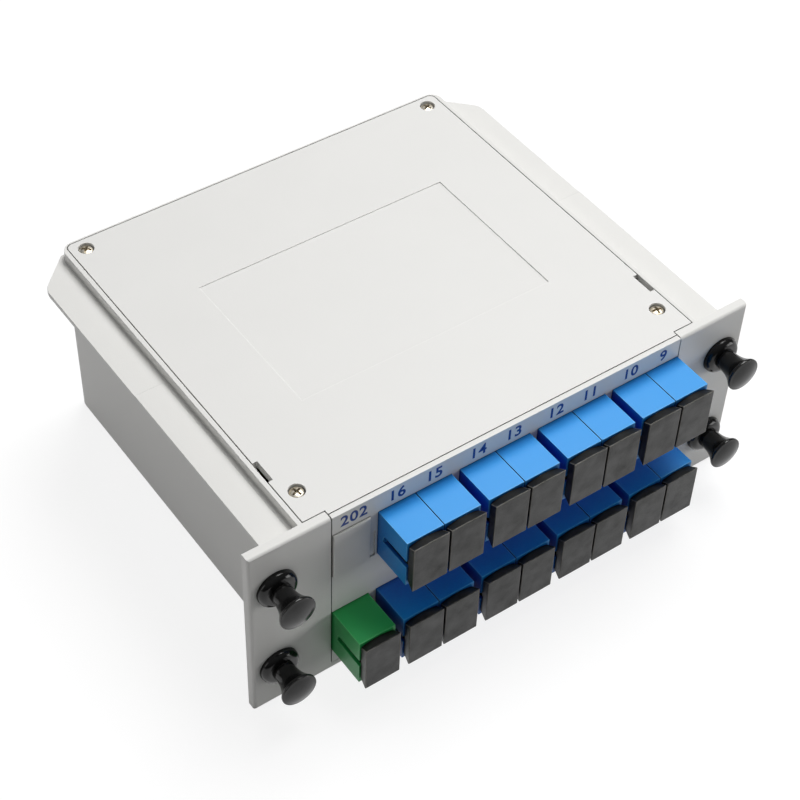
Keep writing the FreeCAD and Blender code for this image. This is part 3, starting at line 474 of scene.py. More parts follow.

# %% [markdown]
# The pale ABS of the tray and cover has a fine matt grain.  The adapters are smoother
# PBT, and their blue is turned towards navy below the upper row as painted shade.  The
# caps are a soft black plastic with pale rims, a painted highlight along with some wear,
# and a patchy film, and the latches are glossy nylon.  Plugs, clips, fibre, ink and
# ceramic use the same recipe with other numbers.

# %% Plastic finishes
# The edge colours here are painted highlights along the rims, along with some wear.
PALE_EDGE = (0.93, 0.925, 0.90)
GREEN_EDGE = (0.20, 0.78, 0.30)
FINISH = {
    "tray": plastic("pale_abs_tray", (0.800, 0.792, 0.765), PALE_EDGE, 0.46, 3200.0, 0.000010,
                    tone=0.040, reach=0.0014, shadow=0.6),
    "cover": plastic("pale_abs_cover", (0.806, 0.799, 0.776), PALE_EDGE, 0.44, 3600.0, 0.000009,
                     tone=0.034, lit_and_worn_share=0.8, reach=0.0014, shadow=0.3),
    "panel": plastic("pale_abs_panel", (0.800, 0.793, 0.768), PALE_EDGE, 0.45, 3400.0, 0.000010,
                     tone=0.040, shadow=0.85),
    # The blue's deep colour is painted shade under the upper row.
    "blue": plastic("blue_pbt", (0.010, 0.330, 0.840), (0.20, 0.62, 0.98), 0.40, 5200.0, 0.000006,
                    lit_and_worn_share=0.7, edge=0.0003, specular=0.34, reach=0.0012, deep=(0.005, 0.038, 0.480)),
    "green": plastic("green_pbt", (0.026, 0.430, 0.105), GREEN_EDGE, 0.40, 5200.0, 0.000006,
                     lit_and_worn_share=0.6, specular=0.34),
    "cap": plastic("black_cap_rubber", (0.012, 0.012, 0.011), (0.44, 0.42, 0.37), 0.34, 4200.0,
                   0.000020, tone=0.12, lit_and_worn_share=0.8, edge=0.00025, specular=0.32, film=1.6),
    "latch": plastic("black_nylon", (0.006, 0.006, 0.006), (0.30, 0.29, 0.26), 0.17, 2600.0,
                     0.000004, tone=0.10, lit_and_worn_share=0.35, edge=0.00025, specular=0.36, film=0.6),
    "plug_blue": plastic("blue_plug_shell", (0.045, 0.270, 0.640), (0.24, 0.62, 0.98), 0.38,
                         4800.0, 0.000008),
    "plug_green": plastic("green_plug_shell", (0.030, 0.280, 0.090), GREEN_EDGE, 0.38,
                          4800.0, 0.000008),
    "clip": plastic("clip_nylon", (0.640, 0.640, 0.600), PALE_EDGE, 0.50, 3000.0, 0.000010),
    "jacket": plastic("fibre_jacket", (0.760, 0.560, 0.080), (0.90, 0.76, 0.30), 0.40,
                      2400.0, 0.000012),
    "ink": plastic("printing_ink", (0.011, 0.050, 0.260), (0.10, 0.20, 0.50), 0.55,
                   5000.0, 0.000004, tone=0.25, tone_scale=900.0, lit_and_worn_share=0.0),
    "ceramic": plastic("zirconia", (0.830, 0.820, 0.790), (0.90, 0.89, 0.87), 0.18,
                       6000.0, 0.000002, tone=0.02),
}
print(len(FINISH), "plastic, ink and ceramic finishes")

# %% [markdown]
# The screws and the splitter's tube are plated metal.  Plating is a thin bright skin
# over a rolled or turned surface, so its roughness varies a little and its colour
# drifts from silver to straw.  The recesses get painted shade, where the crevice mask
# is low.

# %% Plated metal
DRIFT_SPECKLE = 0.6
STRAW_DRIFT = 1.6
RECESS_SHADE_GAIN = 1.2
RECESS_SHADE = 0.65
PLATED_MATT_DRIFT = 0.12
PLATED_GRAIN = {"Scale": 4000.0, "Pits": 0.1}
PLATED_GRAIN_DEPTH = 0.000004


def plated(name, colour, straw, roughness, scale):
    """Plated metal whose colour drifts between two tones."""
    material, tree, shader = new_material(name)
    feed(tree, shader.inputs["Metallic"], 1.0)
    drift = place_group(tree, TONE, Scale=scale, Speckle=DRIFT_SPECKLE, Amount=STRAW_DRIFT)
    skin = mix_colours(tree, math_node(tree, "ADD", drift, 0.5), colour, straw)
    # Painted shade: the colour darkens in recesses, such as the cross of a screw.
    is_open = place_group(tree, CREVICE, Gain=RECESS_SHADE_GAIN)
    shaded = math_node(tree, "ADD", math_node(tree, "MULTIPLY", is_open, RECESS_SHADE), 1 - RECESS_SHADE)
    feed(tree, shader.inputs["Base Color"], scale_value(tree, skin, shaded))
    uneven = math_node(tree, "MULTIPLY", drift, PLATED_MATT_DRIFT)
    feed(tree, shader.inputs["Roughness"], math_node(tree, "ADD", uneven, roughness))
    add_grain(tree, shader, PLATED_GRAIN_DEPTH, **PLATED_GRAIN)
    return material


FINISH["screw"] = plated("plated_screw", (0.74, 0.72, 0.67), (0.78, 0.67, 0.48), 0.40, 700.0)
FINISH["module"] = plated("plated_tube", (0.70, 0.70, 0.69), (0.66, 0.64, 0.58), 0.34, 90.0)
print("metal finishes:", FINISH["screw"].name, FINISH["module"].name)

# %% [markdown]
# Each finished mesh becomes a piece in the same way.  Doubles are merged and normals
# recalculated, so that bevels and shading behave.  Flat faces stay flat under smooth
# shading because a Weighted Normal modifier lets large faces outweigh their bevels.

# %% Helpers for pieces
MERGE = 0.002 * MM
SHARP = math.radians(40)


def settle(bm, name, finish, slot, body="tray", nodes=()):
    """Turn a finished bmesh into a piece that rides on a body and stands for CAD nodes."""
    bmesh.ops.remove_doubles(bm, verts=bm.verts, dist=MERGE)
    bmesh.ops.recalc_face_normals(bm, faces=bm.faces)
    mesh = bpy.data.meshes.new(name)
    bm.to_mesh(mesh)
    bm.free()
    mesh.shade_smooth()
    mesh.set_sharp_from_angle(angle=SHARP)
    mesh.materials.append(FINISH[finish])
    piece = bpy.data.objects.new(name, mesh)
    scene.collection.objects.link(piece)
    weigh = piece.modifiers.new("flat_faces", "WEIGHTED_NORMAL")
    weigh.keep_sharp = True
    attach(piece, body)
    if nodes:
        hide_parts(*nodes)


def soften(bm, edges, width, segments=2, clamp=True):
    """Round edges; the bevel op needs every setting spelled out."""
    bmesh.ops.bevel(bm, geom=edges, offset=width, offset_type="OFFSET", segments=segments,
                    profile=0.5, affect="EDGES", clamp_overlap=clamp, material=-1)


def sharp_edges(bm):
    return [edge for edge in bm.edges if edge.is_manifold and edge.calc_face_angle(0) > SHARP]


print("edges of more than", round(math.degrees(SHARP)), "degrees count as sharp")

# %% [markdown]
# The tray, its cover and the blank plate are thin moulded shells.  Their forms are
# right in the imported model, but its edges are knife sharp, and no moulded edge is.
# Each gets a merged copy whose edges carry a small radius, which is what catches the
# light along every seam.

# %% Tray, cover and blank plate
NEARLY_FLAT = math.radians(1.0)


def softened_copy(node, name, finish, slot, width):
    """A merged copy of a CAD node with its sharp edges rounded.

    A bevel overshoots a little where edges meet at a narrow angle, so the result is held
    within the node's own box.
    """
    bm = bmesh.new()
    bm.from_mesh(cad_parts[node].data)
    bmesh.ops.remove_doubles(bm, verts=bm.verts, dist=MERGE)
    bmesh.ops.dissolve_limit(bm, angle_limit=NEARLY_FLAT, use_dissolve_boundaries=False,
                             verts=bm.verts, edges=bm.edges, delimit=set())
    chosen = sharp_edges(bm)
    soften(bm, chosen, width, clamp=False)
    low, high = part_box(node)
    for vert in bm.verts:
        vert.co = [min(max(value, least), most) for value, least, most in zip(vert.co, low, high)]
    print(name, "has", len(bm.faces), "faces and", len(chosen), "rounded edges")
    settle(bm, name, finish, slot, nodes=[node])


softened_copy("housing", "tray_shell", "tray", "tray_plastic", 0.12 * MM)
softened_copy("cover", "cover_plate", "cover", "cover_plastic", 0.08 * MM)
softened_copy("blank_plate", "blank_insert", "panel", "tray_plastic", 0.10 * MM)

# %% [markdown]
# The front pieces are boxes with steps, sockets and windows.  Such a box is easiest to
# make by slicing it along the places where its features begin and end, and then
# pushing, deleting or bridging whole cells.  The cells stay four-sided, so the bevels
# that follow run cleanly.

# %% Slicing and pushing
NEAR_ZERO = 0.001 * MM
SLICE_REACH = NEAR_ZERO / 10
SQUARE_ON = 0.99


def add_block(bm, low, high):
    """A box between two corners."""
    low, high = Vector(low), Vector(high)
    verts = bmesh.ops.create_cube(bm, size=1.0)["verts"]
    bmesh.ops.scale(bm, verts=verts, vec=high - low)
    bmesh.ops.translate(bm, verts=verts, vec=(low + high) / 2)


def slice_along(bm, axis, places):
    """Cut every face where it crosses planes square to an axis (0, 1, 2 for X, Y, Z)."""
    normal = Vector()
    normal[axis] = 1
    for place in places:
        bmesh.ops.bisect_plane(bm, geom=bm.verts[:] + bm.edges[:] + bm.faces[:],
                               dist=SLICE_REACH, plane_co=normal * place, plane_no=normal)
    bm.normal_update()


def middle(face):
    return face.calc_center_median()


def facing(bm, direction, inside):
    """Faces that look along a direction and whose middle passes a test."""
    direction = Vector(direction)
    return [face for face in bm.faces
            if face.normal.dot(direction) > SQUARE_ON and inside(middle(face))]


def in_order(parts):
    """A list without repeats that keeps its order, as a set would not."""
    return list(dict.fromkeys(parts))


def moved_verts(geometry):
    return [part for part in geometry if isinstance(part, bmesh.types.BMVert)]


def push(bm, faces, shift):
    """Extrude faces as one region, move them, and give back their vertices."""
    region = faces + in_order(edge for face in faces for edge in face.edges)
    moved = moved_verts(bmesh.ops.extrude_face_region(bm, geom=region)["geom"])
    bmesh.ops.translate(bm, verts=moved, vec=shift)
    bm.normal_update()
    return moved


def open_edges(bm, test=lambda spot: True):
    return [edge for edge in bm.edges
            if edge.is_boundary and all(test(vert.co) for vert in edge.verts)]


def square_edges(bm, axis):
    """Open edges whose two ends are level along an axis."""
    return [edge for edge in open_edges(bm)
            if abs(edge.verts[0].co[axis] - edge.verts[1].co[axis]) < NEAR_ZERO]


print("places closer than", NEAR_ZERO / MM, "mm count as one")

# %% [markdown]
# The front panel is a plate with rectangular windows.  Each touching pair of adapters
# shares one, and the input adapter and the blank plate have their own.  A window is
# opened by deleting its cells on both faces of the plate and bridging the two rims.

# %% Windows
ADAPTER_RISE = 13.2 * MM
FIT = 0.05 * MM
PANEL_ROUND = 0.12 * MM
PAIRS = [["adapter_" + PORTS[first], "adapter_" + PORTS[first + 1]] for first in range(0, 16, 2)]


def windows(face):
    """The windows as (left, right, low, high); face is half the panel's visible width.

    A window that nearly reaches the panel's end is opened right through it.
    """
    half = ADAPTER_RISE / 2 + FIT
    found = []
    for nodes in [["adapter_in"], ["blank_plate"]] + PAIRS:
        boxes = [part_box(node) for node in nodes]
        is_upper = boxes[0][0].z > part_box("housing")[1].z / 2
        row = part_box("adapter_09" if is_upper else "adapter_01")
        level = (row[0].z + row[1].z) / 2
        left = min(low.x for low, high in boxes) - FIT
        right = max(high.x for low, high in boxes) + FIT
        left = -face if face + left < PANEL_ROUND else left
        right = face if face - right < PANEL_ROUND else right
        found.append((left, right, level - half, level + half))
    return found


def punch(bm, window):
    """Open a window through a plate that is sliced along its edges."""
    left, right, low, high = window
    inside = [face for face in bm.faces
              if left - NEAR_ZERO < middle(face).x < right + NEAR_ZERO
              and low < middle(face).z < high
              and max(abs(face.normal.x), abs(face.normal.y)) > SQUARE_ON]
    bmesh.ops.delete(bm, geom=inside, context="FACES")
    bmesh.ops.bridge_loops(bm, edges=square_edges(bm, 1))
    bm.normal_update()


print("windows for", len(PAIRS), "pairs, the input and the blank plate")

# %% [markdown]
# The panel's top edge is a thin crest in front of the cover, and below the crest both
# of its ends hook in behind the ears.  A shallow relief lies beside the blank plate.  It
# is pushed in after the bevel, because its own edges are crisp.

# %% Front panel
STRIP_THICKNESS = 1.3 * MM
EAR_CLEAR = 2.42 * MM
HOOK = 3.3 * MM
SHOULDER_DROP = 2.1 * MM
RELIEF = Vector((1.3, 0.35, 8.0)) * MM
RELIEF_START = 1.2 * PANEL_ROUND


def cut_relief(bm, front, left, low):
    """A shallow pocket in the front face, from its lower left corner."""
    right, high = left + RELIEF.x, low + RELIEF.z
    slice_along(bm, 0, (left, right))
    slice_along(bm, 2, (low, high))
    pocket = facing(bm, (0, -1, 0), lambda spot: (
        spot.y < front + NEAR_ZERO and left < spot.x < right and low < spot.z < high))
    push(bm, pocket, (0, RELIEF.y, 0))


def make_front_panel():
    low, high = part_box("front_panel")
    shoulder = high.z - SHOULDER_DROP
    face = high.x - HOOK
    holes = windows(face)
    bm = bmesh.new()
    add_block(bm, (-face, low.y, low.z), (face, high.y, shoulder))
    slice_along(bm, 0, sorted({round(side, 6) for hole in holes for side in hole[:2]}))
    slice_along(bm, 2, sorted({round(side, 6) for hole in holes for side in hole[2:]}))
    for hole in holes:
        punch(bm, hole)
    slice_along(bm, 1, [low.y + STRIP_THICKNESS, low.y + EAR_CLEAR])
    crest = facing(bm, (0, 0, 1), lambda spot: (
        spot.y < low.y + STRIP_THICKNESS and spot.z > shoulder - NEAR_ZERO))
    push(bm, crest, (0, 0, SHOULDER_DROP))
    for side in (-1, 1):
        end = facing(bm, (side, 0, 0), lambda spot: (
            abs(spot.x - side * face) < NEAR_ZERO and spot.y > low.y + EAR_CLEAR
            and spot.z < shoulder))
        push(bm, end, (side * HOOK, 0, 0))
    bmesh.ops.remove_doubles(bm, verts=bm.verts, dist=NEAR_ZERO)
    soften(bm, sharp_edges(bm), PANEL_ROUND)
    blank_right, sill = holes[1][1:3]
    cut_relief(bm, low.y, blank_right + RELIEF_START, sill)
    settle(bm, "front_plate", "panel", "tray_plastic", nodes=["front_panel"])
    print("front panel with", len(holes), "windows")


make_front_panel()

# %% [markdown]
# Several pieces have turned parts: the round holder in an adapter, the latches and the
# screws.  A turned shape is spun about an axis from half of its profile.  The round
# stretches of a profile are arcs, so that the gloss slides smoothly over them.

# %% Turned shapes
ROUND_STEPS = 40


def spun(bm, profile, steps=ROUND_STEPS):
    """A closed solid turned about the Y axis from (radius, depth) points."""
    verts = [bm.verts.new((radius, depth, 0)) for radius, depth in profile]
    edges = [bm.edges.new(pair) for pair in zip(verts, verts[1:])]
    if profile[0][0] > 0:
        edges.append(bm.edges.new((verts[-1], verts[0])))
    bmesh.ops.spin(bm, geom=verts + edges, cent=(0, 0, 0), axis=(0, 1, 0), angle=2 * math.pi,
                   steps=steps, use_merge=True)
    bmesh.ops.remove_doubles(bm, verts=bm.verts, dist=NEAR_ZERO)
    bmesh.ops.recalc_face_normals(bm, faces=bm.faces)


def swept(bm, profile, angle, steps):
    """A closed profile of (radius, depth) points, swept part of the way about the Y axis."""
    face = bm.faces.new([bm.verts.new((radius, depth, 0)) for radius, depth in profile])
    bmesh.ops.spin(bm, geom=[face] + face.edges[:] + face.verts[:], cent=(0, 0, 0),
                   axis=(0, 1, 0), angle=angle, steps=steps)


def arc(centre, radius, start, end, steps):
    """Points on an arc of a profile; angles in degrees from the radius axis."""
    turn = [math.radians(start + (end - start) * step / steps) for step in range(steps + 1)]
    return [(centre[0] + radius * math.cos(angle), centre[1] + radius * math.sin(angle))
            for angle in turn]


def to_metres(profile):
    """The points of a profile that is written in millimetres."""
    return [(radius * MM, depth * MM) for radius, depth in profile]


def turn_about(bm, axis, angle):
    bmesh.ops.rotate(bm, verts=bm.verts, cent=(0, 0, 0), matrix=Matrix.Rotation(angle, 3, axis))


def join(bm, other):
    """Add one bmesh to another."""
    mesh = bpy.data.meshes.new("joined")
    bmesh.ops.recalc_face_normals(other, faces=other.faces)
    other.to_mesh(mesh)
    other.free()
    bm.from_mesh(mesh)
    bpy.data.meshes.remove(mesh)


print("turned shapes have", ROUND_STEPS, "steps unless they say otherwise")

# %% [markdown]
# An adapter is a rectangular tube with a wall across its middle.  A round holder for
# the ceramic sleeve stands through that wall, and two springy hooks reach forward from
# it.  The tube is sliced where its features begin and end, the sockets are pushed in
# from both ends, and the slot for the plug's key is cut out and its rims bridged.  The
# sizes come first, then the cuts, then the pieces inside.

# %% Cuts of an adapter
ADAPTER = {"width": 9.05 * MM, "length": 28.0 * MM, "rise": ADAPTER_RISE, "round": 0.16 * MM}
SOCKET = {"width": 7.5 * MM, "rise": 9.1 * MM, "depth": 13.2 * MM}
SOCKET_FLOORS = {-1: SOCKET["depth"], 1: ADAPTER["length"] - SOCKET["depth"]}
KEY_SLOT = {"width": 1.9 * MM, "length": 8.0 * MM, "round": 0.8 * MM, "steps": 4}
COLLAR = {"near": 13.65 * MM, "far": 15.25 * MM, "rise": 0.9 * MM}
HOLDER = {"radius": 2.3 * MM, "bore": 1.67 * MM, "near": 7.5 * MM, "far": 20.5 * MM}
HOLDER_OVERLAP = 0.02 * MM
HALF_SOCKET, HALF_MOUTH = SOCKET["width"] / 2, SOCKET["rise"] / 2
HALF_KEY = KEY_SLOT["width"] / 2


def cut_round_window(bm, place, rim, radius):
    """Fill the gap between a rectangular rim and a circle, square to Y."""
    stand = Matrix.Translation((0, place, 0)) @ Matrix.Rotation(math.pi / 2, 4, "X")
    made = bmesh.ops.create_circle(bm, segments=ROUND_STEPS, radius=radius, matrix=stand)
    ring = in_order(edge for vert in made["verts"] for edge in vert.link_edges)
    bmesh.ops.triangle_fill(bm, use_beauty=True, edges=rim + ring)
    return ring


def cut_sockets(bm):
    """Push a socket in at each end, and open its floor for the round holder."""
    for direction in SOCKET_FLOORS:
        mouth = facing(bm, (0, direction, 0), lambda spot: (
            abs(spot.x) < HALF_SOCKET and abs(spot.z) < HALF_MOUTH))
        push(bm, mouth, (0, -direction * SOCKET["depth"], 0))
    for direction, place in SOCKET_FLOORS.items():
        bottom = facing(bm, (0, direction, 0), lambda spot: abs(spot.y - place) < NEAR_ZERO)
        bmesh.ops.delete(bm, geom=bottom, context="FACES")
    rings = []
    for place in SOCKET_FLOORS.values():
        rim = open_edges(bm, lambda spot: abs(spot.y - place) < NEAR_ZERO)
        rings += cut_round_window(bm, place, rim, HOLDER["radius"] - HOLDER_OVERLAP)
    bmesh.ops.bridge_loops(bm, edges=rings)


def cut_key_slot(bm):
    """Open the slot in the left wall and round its inner end."""
    length = KEY_SLOT["length"]
    slice_along(bm, 1, [length])
    cells = [face for face in bm.faces
             if middle(face).x < NEAR_ZERO - HALF_SOCKET and abs(middle(face).z) < HALF_KEY
             and middle(face).y < length]
    bmesh.ops.delete(bm, geom=cells, context="FACES")
    bmesh.ops.bridge_loops(bm, edges=square_edges(bm, 0))
    bmesh.ops.recalc_face_normals(bm, faces=bm.faces)
    ends = [edge for edge in bm.edges
            if all(abs(vert.co.y - length) < NEAR_ZERO and vert.co.x < NEAR_ZERO - HALF_SOCKET
                   and abs(abs(vert.co.z) - HALF_KEY) < NEAR_ZERO for vert in edge.verts)]
    soften(bm, ends, KEY_SLOT["round"], KEY_SLOT["steps"])


print("a socket is", round(SOCKET["depth"] / MM, 1), "mm deep")

# %% [markdown]
# Now the whole adapter.  Its outer edges and the sockets' edges are rounded, while the
# hole in the wall across its middle stays crisp, because the holder covers its rim.
# All adapters are copies of one bmesh, moved to their ports.

# %% Adapters
ARM = {"half": 1.6 * MM, "tip": 3.2 * MM, "barb_end": 4.9 * MM, "inner": 3.75 * MM,
       "outer": 4.45 * MM, "barb": 0.5 * MM, "root": SOCKET["depth"] + 0.2 * MM}
FINE_ROUND = 0.12 * MM


def add_hooks(bm):
    """The two arms that grip a plug, with a barb at each tip."""
    for side in (-1, 1):
        arm = bmesh.new()
        add_block(arm, (-ARM["half"], ARM["tip"], ARM["inner"]), (ARM["half"], ARM["root"], ARM["outer"]))
        slice_along(arm, 1, [ARM["barb_end"]])
        barb = facing(arm, (0, 0, -1), lambda spot: spot.y < ARM["barb_end"])
        push(arm, barb, (0, 0, -ARM["barb"]))
        soften(arm, sharp_edges(arm), FINE_ROUND)
        bmesh.ops.scale(arm, verts=arm.verts, vec=(1, 1, side))
        join(bm, arm)


def add_holder(bm):
    """The round tube that holds the ceramic sleeve."""
    holder = bmesh.new()
    spun(holder, [(HOLDER["bore"], HOLDER["near"]), (HOLDER["radius"], HOLDER["near"]),
                  (HOLDER["radius"], HOLDER["far"]), (HOLDER["bore"], HOLDER["far"])])
    soften(holder, sharp_edges(holder), FINE_ROUND)
    join(bm, holder)


def adapter_block():
    half_wide, half_rise = ADAPTER["width"] / 2, ADAPTER["rise"] / 2
    bm = bmesh.new()
    add_block(bm, (-half_wide, 0, -half_rise), (half_wide, ADAPTER["length"], half_rise))
    slice_along(bm, 0, (-HALF_SOCKET, HALF_SOCKET))
    slice_along(bm, 2, [-HALF_MOUTH, -HALF_KEY, HALF_KEY, HALF_MOUTH])
    slice_along(bm, 1, [COLLAR["near"], COLLAR["far"]])
    for side in (-1, 1):
        band = facing(bm, (0, 0, side), lambda spot: COLLAR["near"] < spot.y < COLLAR["far"])
        push(bm, band, (0, 0, side * COLLAR["rise"]))
    cut_sockets(bm)
    cut_key_slot(bm)
    outline = [edge for edge in sharp_edges(bm)
               if max(abs(vert.co.x) for vert in edge.verts) > HALF_SOCKET - NEAR_ZERO
               or max(abs(vert.co.z) for vert in edge.verts) > HALF_MOUTH - NEAR_ZERO]
    soften(bm, outline, ADAPTER["round"])
    add_holder(bm)
    add_hooks(bm)
    return bm


def at_port(port):
    """The middle of a port's mouth."""
    low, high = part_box("adapter_" + port)
    return Vector(((low.x + high.x) / 2, low.y, (low.z + high.z) / 2))


def place_copy(template, spot, *settings, **named):
    copy = template.copy()
    bmesh.ops.translate(copy, verts=copy.verts, vec=spot)
    settle(copy, *settings, **named)


block = adapter_block()
print("one adapter has", len(block.faces), "faces")
for port in PORTS:
    colour = "green" if port == "in" else "blue"
    place_copy(block, at_port(port), "adapter_block_" + port, colour, colour + "_adapter",
               nodes=["adapter_" + port])
block.free()

# %% [markdown]
# A dust cap is a thick plate with a bored stem that plugs the socket.  The plate is
# drawn in towards the adapter, most of all at its corners, so that a fingertip can hook
# behind it.  That draw-in leaves a crescent of the adapter's front face in sight above
# the cap.

# %% Dust caps
CAP = {"width": 8.85 * MM, "rise": 13.1 * MM, "thickness": 2.25 * MM, "gap": 0.05 * MM,
       "front_round": 0.22 * MM, "round": 0.10 * MM}
DRAW_IN = {"side": 0.30 * MM, "middle": 0.45 * MM, "corner": 0.90 * MM}
STEM = {"width": 7.0 * MM, "rise": 6.2 * MM, "length": 6.5 * MM, "bore": 2.7 * MM}
CAP_COLUMNS = (-1, -2 / 3, -1 / 3, 0, 1 / 3, 2 / 3, 1)
CAP_BACK = -CAP["gap"]
CAP_FRONT = CAP_BACK - CAP["thickness"]
CAP_HALF_WIDE, CAP_HALF_RISE = CAP["width"] / 2, CAP["rise"] / 2


def draw_in_rear(bm):
    """Draw the rear rim in; the inset grows towards the corners as a parabola does."""
    for vert in bm.verts:
        if vert.co.y < CAP_BACK - NEAR_ZERO:
            continue
        if abs(vert.co.z) > CAP_HALF_RISE - NEAR_ZERO:
            inset = DRAW_IN["middle"] + DRAW_IN["corner"] * (vert.co.x / CAP_HALF_WIDE) ** 2
            vert.co.z -= math.copysign(inset, vert.co.z)
        if abs(vert.co.x) > CAP_HALF_WIDE - NEAR_ZERO:
            vert.co.x -= math.copysign(DRAW_IN["side"], vert.co.x)
    bm.normal_update()


def add_stem(bm):
    """Push the stem out of the rear face and bore it from its tip."""
    root = facing(bm, (0, 1, 0), lambda spot: (
        abs(spot.x) < STEM["width"] / 2 and abs(spot.z) < STEM["rise"] / 2))
    push(bm, root, (0, STEM["length"], 0))
    tip = CAP_BACK + STEM["length"]
    end = facing(bm, (0, 1, 0), lambda spot: abs(spot.y - tip) < NEAR_ZERO)
    bmesh.ops.delete(bm, geom=end, context="FACES")
    ring = cut_round_window(bm, tip, open_edges(bm), STEM["bore"])
    deep = moved_verts(bmesh.ops.extrude_edge_only(bm, edges=ring)["geom"])
    bmesh.ops.translate(bm, verts=deep, vec=(0, -STEM["length"] - CAP["thickness"] / 3, 0))
    bmesh.ops.holes_fill(bm, edges=open_edges(bm), sides=0)
    bmesh.ops.recalc_face_normals(bm, faces=bm.faces)


def from_axis(vert):
    return Vector((vert.co.x, vert.co.z)).length


def dust_cap():
    bm = bmesh.new()
    add_block(bm, (-CAP_HALF_WIDE, CAP_FRONT, -CAP_HALF_RISE), (CAP_HALF_WIDE, CAP_BACK, CAP_HALF_RISE))
    slice_along(bm, 0, [STEM["width"] / 2 * share for share in CAP_COLUMNS])
    slice_along(bm, 2, (-STEM["rise"] / 2, STEM["rise"] / 2))
    draw_in_rear(bm)
    add_stem(bm)
    face_edges = [edge for edge in sharp_edges(bm)
                  if all(vert.co.y < CAP_FRONT + NEAR_ZERO for vert in edge.verts)]
    soften(bm, face_edges, CAP["front_round"], 3)
    rest = [edge for edge in sharp_edges(bm)
            if max(from_axis(vert) for vert in edge.verts) > STEM["bore"] + NEAR_ZERO]
    soften(bm, rest, CAP["round"])
    return bm


cap = dust_cap()
print("one dust cap has", len(cap.faces), "faces")
for port in PORTS:
    place_copy(cap, at_port(port), "dust_cap_plate_" + port, "cap", "cap_plastic", body="cap_" + port,
               nodes=["dust_cap_" + port])
cap.free()

# %% [markdown]
# The push-pull latches are turned shapes: a domed collar on a split barrel, and a
# flared knob on a pin with a bulb at its end.  Depths count from the ear's front face,
# and what stands in front of it is negative.  The barrel's four legs can't be spun in
# one go, so each is a section swept through a little less than a quarter turn.

# %% Latches
LATCH_STEPS = 56
KNOB = [(0, -8.9)] + arc((0, 1.88), 10.78, 275, 291.2, 6) + arc((3.9, -7.95), 0.25, 300, 360, 4)
KNOB += arc((3.95, -7.7), 0.2, 0, 50, 3) + arc((9.5, -3.05), 7.0, 219, 180, 12)
KNOB += [(2.5, -2.05), (1.8, -2.05), (1.8, 7.1), (2.2, 7.7), (1.8, 9.0), (0, 9.0)]
COLLAR_PROFILE = [(1.85, -2.0)] + arc((3.0, -0.4), 1.6, 270, 358, 8)
COLLAR_PROFILE += [(4.6, 0), (3.15, 0), (3.15, 5.0), (2.35, 5.0), (2.35, 3.2), (1.85, 2.8)]
LEG = [(2.35, 4.9), (2.95, 4.9), (2.8, 7.0), (2.6, 8.1), (2.35, 8.1)]
LEG_STEPS = 8
LEG_GAP = math.radians(16)


def add_legs(bm):
    for quarter in range(4):
        leg = bmesh.new()
        swept(leg, to_metres(LEG), math.pi / 2 - LEG_GAP, LEG_STEPS)
        turn_about(leg, "Y", quarter * math.pi / 2 + LEG_GAP / 2)
        join(bm, leg)


def at_latch(name):
    """Where a latch's axis meets the ear's front face."""
    low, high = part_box("latch_plunger_" + name)
    return Vector(((low.x + high.x) / 2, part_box("housing")[0].y, (low.z + high.z) / 2))


knob = bmesh.new()
spun(knob, to_metres(KNOB), LATCH_STEPS)
collar = bmesh.new()
spun(collar, to_metres(COLLAR_PROFILE), LATCH_STEPS)
add_legs(collar)
for name in LATCHES:
    place_copy(knob, at_latch(name), "latch_knob_" + name, "latch", "latch_plastic",
               body="plunger_" + name, nodes=["latch_plunger_" + name])
    place_copy(collar, at_latch(name), "latch_collar_" + name, "latch", "latch_plastic",
               nodes=["latch_grommet_" + name])
print("one knob has", len(knob.faces), "faces and one collar", len(collar.faces))
knob.free()
collar.free()

# %% [markdown]
# The cover screws are pan heads with a cross recess.  The head is spun, sliced along
# the cross, and the faces inside the cross are pushed down and drawn together, as the
# punch that forms a real recess does.  Each screw stopped at its own angle.

# %% Cover screws
HEAD_RADIUS = 1.65
HEAD_RISE = 1.0
SCREW = [(0, HEAD_RISE)] + arc((0, -2.6), 3.6, 86, 67, 4) + arc((1.3, 0.36), 0.35, 60, 0, 4)
SCREW += [(HEAD_RADIUS, 0), (1.0, 0), (1.0, -7.0), (0, -7.0)]
SCREW_STEPS = 48
CROSS = {"arm": 0.30 * MM, "reach": 1.15 * MM, "depth": 0.70 * MM, "above": 0.3 * MM}
DRAWN_TOGETHER = (0.6, 0.6, 1.0)
FIRST_ANGLE, NEXT_ANGLE = 17, 31


def screw_spots():
    """The four corners of the screws' box, at the level of their seats."""
    low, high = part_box("cover_screws")
    radius = HEAD_RADIUS * MM
    seat = high.z - HEAD_RISE * MM
    return [Vector((x, y, seat)) for x in (low.x + radius, high.x - radius)
            for y in (low.y + radius, high.y - radius)]


def is_in_cross(spot):
    near, far = sorted((abs(spot.x), abs(spot.y)))
    return spot.z > CROSS["above"] and near < CROSS["arm"] and far < CROSS["reach"]


def one_screw():
    bm = bmesh.new()
    spun(bm, to_metres(SCREW), SCREW_STEPS)
    turn_about(bm, "X", math.pi / 2)
    for axis in (0, 1):
        slice_along(bm, axis, (-CROSS["reach"], -CROSS["arm"], CROSS["arm"], CROSS["reach"]))
    in_cross = [face for face in bm.faces if face.normal.z > 0.5 and is_in_cross(middle(face))]
    sunk = push(bm, in_cross, (0, 0, -CROSS["depth"]))
    bmesh.ops.scale(bm, verts=sunk, vec=DRAWN_TOGETHER)
    return bm


def make_screws():
    whole = bmesh.new()
    for index, spot in enumerate(screw_spots()):
        screw = one_screw()
        turn_about(screw, "Z", math.radians(FIRST_ANGLE + NEXT_ANGLE * index))
        bmesh.ops.translate(screw, verts=screw.verts, vec=spot)
        join(whole, screw)
    print("four screws have", len(whole.faces), "faces")
    settle(whole, "screw_heads", "screw", "screw_metal", nodes=["cover_screws"])


make_screws()

